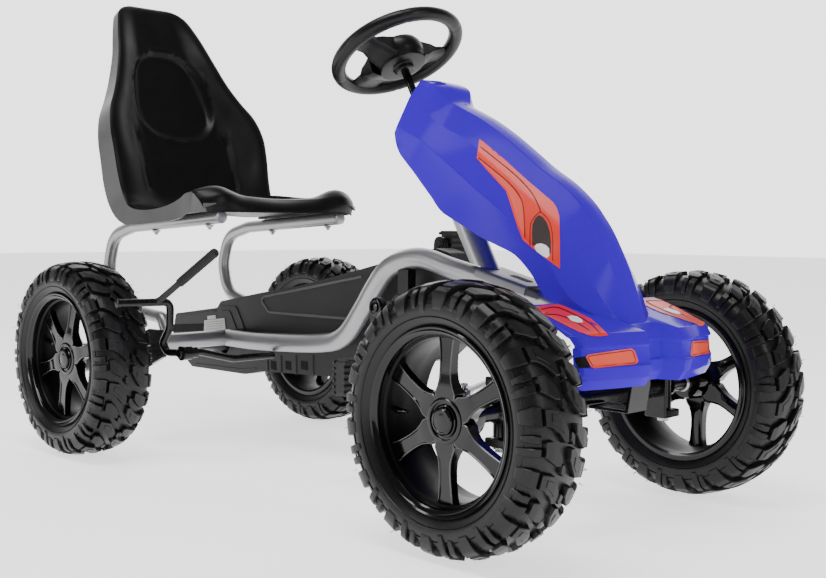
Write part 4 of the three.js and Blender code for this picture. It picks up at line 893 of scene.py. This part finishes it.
# ---------------------------------------------------------------- chain guard
GO = [(-1016, 160), (-986, 133), (-955, 113), (-786, 114), (-735, 124), (-513, 134), (-420, 152), (-372, 170), (-341, 173), (-300, 182), (-268, 208), (-251, 245), (-251, 285), (-264, 318), (-282, 342), (-308, 348), (-420, 324), (-483, 310), (-630, 279), (-736, 263), (-818, 249), (-861, 241.5), (-872, 229), (-1010, 211), (-1019, 176)]
GO_R = [(p[0], p[2]) for p in round_path([(x, 0, z) for x, z in GO + GO[:2]], 9, 4)[1:-1]]
holes = [(-WB, R, 14), (CR[0], CR[1], 14), (-800, 181, 14.6)]
part = Part()
slab(part, GO_R, 28, 30.4, 0, holes)
part2 = Part()
n = len(GO_R)
def rimwall(part, outline, y0, y1, t, mat=0):
    q = np.array(outline, float); c = np.roll(q, -1, 0) - np.roll(q, 1, 0); c /= np.linalg.norm(c, axis=1)[:, None]
    N = np.stack([c[:, 1], -c[:, 0]], 1)
    area = 0.5 * np.sum(q[:, 0] * np.roll(q[:, 1], -1) - np.roll(q[:, 0], -1) * q[:, 1])
    if area < 0: N = -N
    I = q - N * t
    k = len(q)
    V = [(x, y0, z) for x, z in q] + [(x, y1, z) for x, z in q] + [(x, y1, z) for x, z in I] + [(x, y0, z) for x, z in I]
    F = []
    for i in range(k):
        j = (i + 1) % k
        for a in range(4):
            b = (a + 1) % 4
            F.append([a * k + i, a * k + j, b * k + j, b * k + i])
    part.add(V, F, mat)
rimwall(part, GO_R, 28.2, 46.8, 2.4)
part.obj("chain_guard_inner_look", [GUARD], "frame", ["chain_guard_inner"], bevel=1.8, seg=3)
part = Part()
slab(part, GO_R, 61.6, 64, 0, holes)
rimwall(part, GO_R, 47.2, 63.8, 2.4)
part.obj("chain_guard_outer_look", [GUARD], "frame", ["chain_guard_outer"], bevel=1.8, seg=3)
# moulded ribs, pockets painted as near-black sheets of shade, and the blank label on the face seen past the spine
def on_face(p, y=28.0):
    d = FWD + RT_ * (p[0] - CX) / F_PX - UP_ * (p[1] - CY) / F_PX
    t = (y - CAM[1]) / d[1]
    q = CAM + d * t
    return (q[0], q[2])
part = Part()
def rib(pts, w, h, mat, y=28.0):
    P = resample(round_path([(q[0], 0, q[1]) for q in [on_face(p) for p in pts]], 8, 5), 6)
    T = np.gradient(P, axis=0); T /= np.linalg.norm(T, axis=1)[:, None]
    N = np.stack([-T[:, 2], 0 * T[:, 0], T[:, 0]], 1)
    rows = []
    for p, nn in zip(P, N):
        rows.append([p + nn * w / 2 + np.array([0, y + 0.6, 0]), p + nn * w * 0.3 + np.array([0, y - h, 0]), p - nn * w * 0.3 + np.array([0, y - h, 0]), p - nn * w / 2 + np.array([0, y + 0.6, 0])])
    G = np.array(rows); m = len(G)
    part.add(G.reshape(-1, 3), grid_faces(m, 4) + [[3, 2, 1, 0], [(m - 1) * 4 + i for i in range(4)]], mat)
# long rib in the lighter grey: painted highlight
rib([(362, 276.6), (310, 287.4), (263, 297), (262, 301), (269, 312), (300, 314.8), (349, 318.8)], 5.0, 1.8, 0)
rib([(219.5, 306.2), (236.4, 306.8), (246.4, 334)], 4.4, 1.6, 1)
rib([(222, 310.6), (230, 311), (238.4, 334)], 3.6, 1.4, 1)
rib([(180, 315.2), (200, 312.4), (216, 310.6)], 3.0, 1.3, 1)
rib([(195, 363.6), (241, 369.4), (256, 368.4)], 3.0, 1.2, 1)
def patch(pts, lift, mat, y=28.0, th=0.5):
    q = [on_face(p) for p in pts]
    n = len(q)
    V = [(x, y - lift, z) for x, z in q] + [(x, y + 0.3, z) for x, z in q]
    part.add(V, [list(range(n))] + [[i, (i + 1) % n, (i + 1) % n + n, i + n] for i in range(n)], mat)
# near-black strip: painted shade of a pocket
patch([(171, 324.4), (203.6, 323.4), (204.6, 326), (204.4, 330.6), (172, 332)], 0.7, 2)
patch([(205, 320.4), (225, 318), (226.4, 334), (204.4, 333)], 1.5, 3)
patch([(208, 316), (216, 315), (216.4, 318.6), (208.2, 319.6)], 1.5, 3)
for k in range(5):
    z = 321.6 + k * 2.3
    patch([(206.6, z + 0.5), (224, z - 1.2), (224.1, z - 0.7), (206.6, z + 1.0)], 1.7, 4)
# pockets: near-black patches, painted shade
for x0, x1 in ((271, 276), (285.5, 291), (301, 307.5)):
    patch([(x0, 360.5), (x1, 361.5), (x1 + 0.3, 370.5), (x0 + 0.3, 369)], 0.6, 2)
for x in (267.5, 281, 296, 313):
    rib([(x, 355), (x + 0.4, 371 + (x - 267) * 0.12)], 3.0, 1.6, 1)
part.obj("guard_details_look", [GUARD_RIB_HIGHLIGHT, GUARD, RECESS_SHADE, LABEL, LABEL_LINE], "frame", angle=30)

# ---------------------------------------------------------------- hand brake
part = Part()
tube(part, resample(round_path([(-660, -190, 177), (-660, -152, 177), (-660, -88, 161.3), (-660, -6, 161.3)], 30, 8), 4), 5.9, 24)
lathe(part, [(6, 0), (9, 0), (9, 8), (6, 8.4), (6, 0)], (-660, -168.4, 177), (0, 1, 0), 30)
hexbolt(part, (-660, -187, 177), (0, -1, 0), 15, 6, 0)
part.obj("brake_pivot_rod_look", [BLACK_METAL, STEEL], "frame", ["brake_pivot_rod"])
part = Part()
lv = resample(round_path([(-666, -178, 177), (-702, -186, 175), (-711, -190, 190), (-694, -187, 214), (-690.5, -188, 257.5), (-688, -283.6, 259)], [10, 12, 30, 14], 10), 3)
tube(part, lv, 6.2, 24)
lathe(part, [(0, 0), (6.2, 0), (7.2, 0.8), (7.2, 5), (5, 6), (0, 6)], (-688, -281.0, 258.9), (0.02, -1, 0.01), 24)
lathe(part, [(6.4, -8), (10.2, -8), (11, -7), (11, 7), (10.2, 8), (6.4, 8), (6.4, -8)], (-660, -177.5, 177), (0, 1, 0), 36)
fa, b = np.array([-689.4, -212.4, 258.0]), np.array([-576, -182, 338.0])
d = unit(b - fa)
tube(part, np.array([fa, fa + d * 8, b - d * 4, b - d * 1]), [7.4, 5.2, 5.0, 4.6], 24)
part.obj("brake_lever_look", [BLACK_METAL], "brake", ["brake_lever"])
part = Part()
prof = [(5.2, -86), (6.6, -86), (7.2, -85)]
for i in range(16):
    z = -82 + i * 5.0
    prof += [(6.9, z), (6.9, z + 1.4), (7.3, z + 2.2), (7.3, z + 3.8)]
prof += [(7.2, 0.0), (6.4, 3.0), (4, 5.0), (0, 5.6), (0, 1.2), (5.2, 0.6), (5.2, -86)]
lathe(part, prof, b, d, 32)
part.obj("brake_grip_look", [GRIP], "brake", ["brake_grip"], angle=25)

# ---------------------------------------------------------------- nodes shown as they are get real finishes
for n, mt in (("column_bush_upper", GUARD), ("column_bush_lower", GUARD), ("drive_chain", STEEL), ("rear_axle", STEEL), ("rear_sprocket", STEEL), ("chainring", STEEL)):
    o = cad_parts[n]
    o.data.materials.clear()
    o.data.materials.append(mt)

# ---------------------------------------------------------------- studio
def floor():
    part = bpy.data.meshes.new("floor")
    n = 24; V, F = [], []
    prof = [(-9.0, 0.0), (9.0, 0.0)]
    for i in range(n + 1):
        for j in range(n + 1):
            V.append((-14 + 28 * i / n, -14 + 28 * j / n, 0.0))
    for i in range(n):
        for j in range(n):
            F.append([i * (n + 1) + j, (i + 1) * (n + 1) + j, (i + 1) * (n + 1) + j + 1, i * (n + 1) + j + 1])
    part.from_pydata(V, [], F)
    o = bpy.data.objects.new("floor", part)
    bpy.context.scene.collection.objects.link(o)
    fm = material("floor_white", (0.86, 0.86, 0.86, 1), rough=0.9, spread=0.01, scale=3, spec=0.1)
    fb = fm.node_tree.nodes["Principled BSDF"]
    fb.inputs["Emission Color"].default_value = (1, 1, 1, 1); fb.inputs["Emission Strength"].default_value = 1.35
    part.materials.append(fm)
floor()
w = bpy.data.worlds.new("studio")
bpy.context.scene.world = w
w.use_nodes = True
nt = w.node_tree
bg = nt.nodes["Background"]
bg.inputs["Strength"].default_value = 1.0
tc = nt.nodes.new("ShaderNodeTexCoord")
dot = nt.nodes.new("ShaderNodeVectorMath"); dot.operation = "DOT_PRODUCT"
dot.inputs[1].default_value = (-0.7153, 0.6989, 0.0)
nt.links.new(tc.outputs["Generated"], dot.inputs[0])
ramp = nt.nodes.new("ShaderNodeMapRange"); ramp.interpolation_type = "SMOOTHSTEP"
ramp.inputs["From Min"].default_value = 0.35; ramp.inputs["From Max"].default_value = 0.86
ramp.inputs["To Min"].default_value = 0.20; ramp.inputs["To Max"].default_value = 2.7
nt.links.new(dot.outputs["Value"], ramp.inputs["Value"])
comb = nt.nodes.new("ShaderNodeCombineColor")
for k in ("Red", "Green", "Blue"): nt.links.new(ramp.outputs["Result"], comb.inputs[k])
nt.links.new(comb.outputs["Color"], bg.inputs["Color"])
def area(name, loc, target, size, power, size_y=None):
    l = bpy.data.lights.new(name, "AREA")
    l.energy = power; l.shape = "RECTANGLE"; l.size = size; l.size_y = size_y or size
    o = bpy.data.objects.new(name, l)
    bpy.context.scene.collection.objects.link(o)
    o.location = loc
    d = Vector(target) - Vector(loc)
    o.rotation_euler = d.to_track_quat("-Z", "Y").to_euler()
    return o
area("key", (0.3, -0.9, 3.2), (0, 0, 0.2), 2.2, 66, 1.0)
area("side", (-1.7, -3.0, 1.2), (-0.1, 0, 0.35), 0.35, 22, 2.0)
area("front", (3.1, 0.1, 1.5), (0.2, 0, 0.3), 0.3, 20, 1.8)

cam = bpy.data.cameras.new("camera")
cam.sensor_width = 36.0
cam.lens = F_PX * 36.0 / 826.0
cam.clip_end = 100
co = bpy.data.objects.new("camera", cam)
bpy.context.scene.collection.objects.link(co)
loc = to_m(CAM[None])[0]
M = Matrix(((RT_[0], UP_[0], -FWD[0], loc[0]), (RT_[1], UP_[1], -FWD[1], loc[1]), (RT_[2], UP_[2], -FWD[2], loc[2]), (0, 0, 0, 1)))
co.matrix_world = M
bpy.context.scene.camera = co
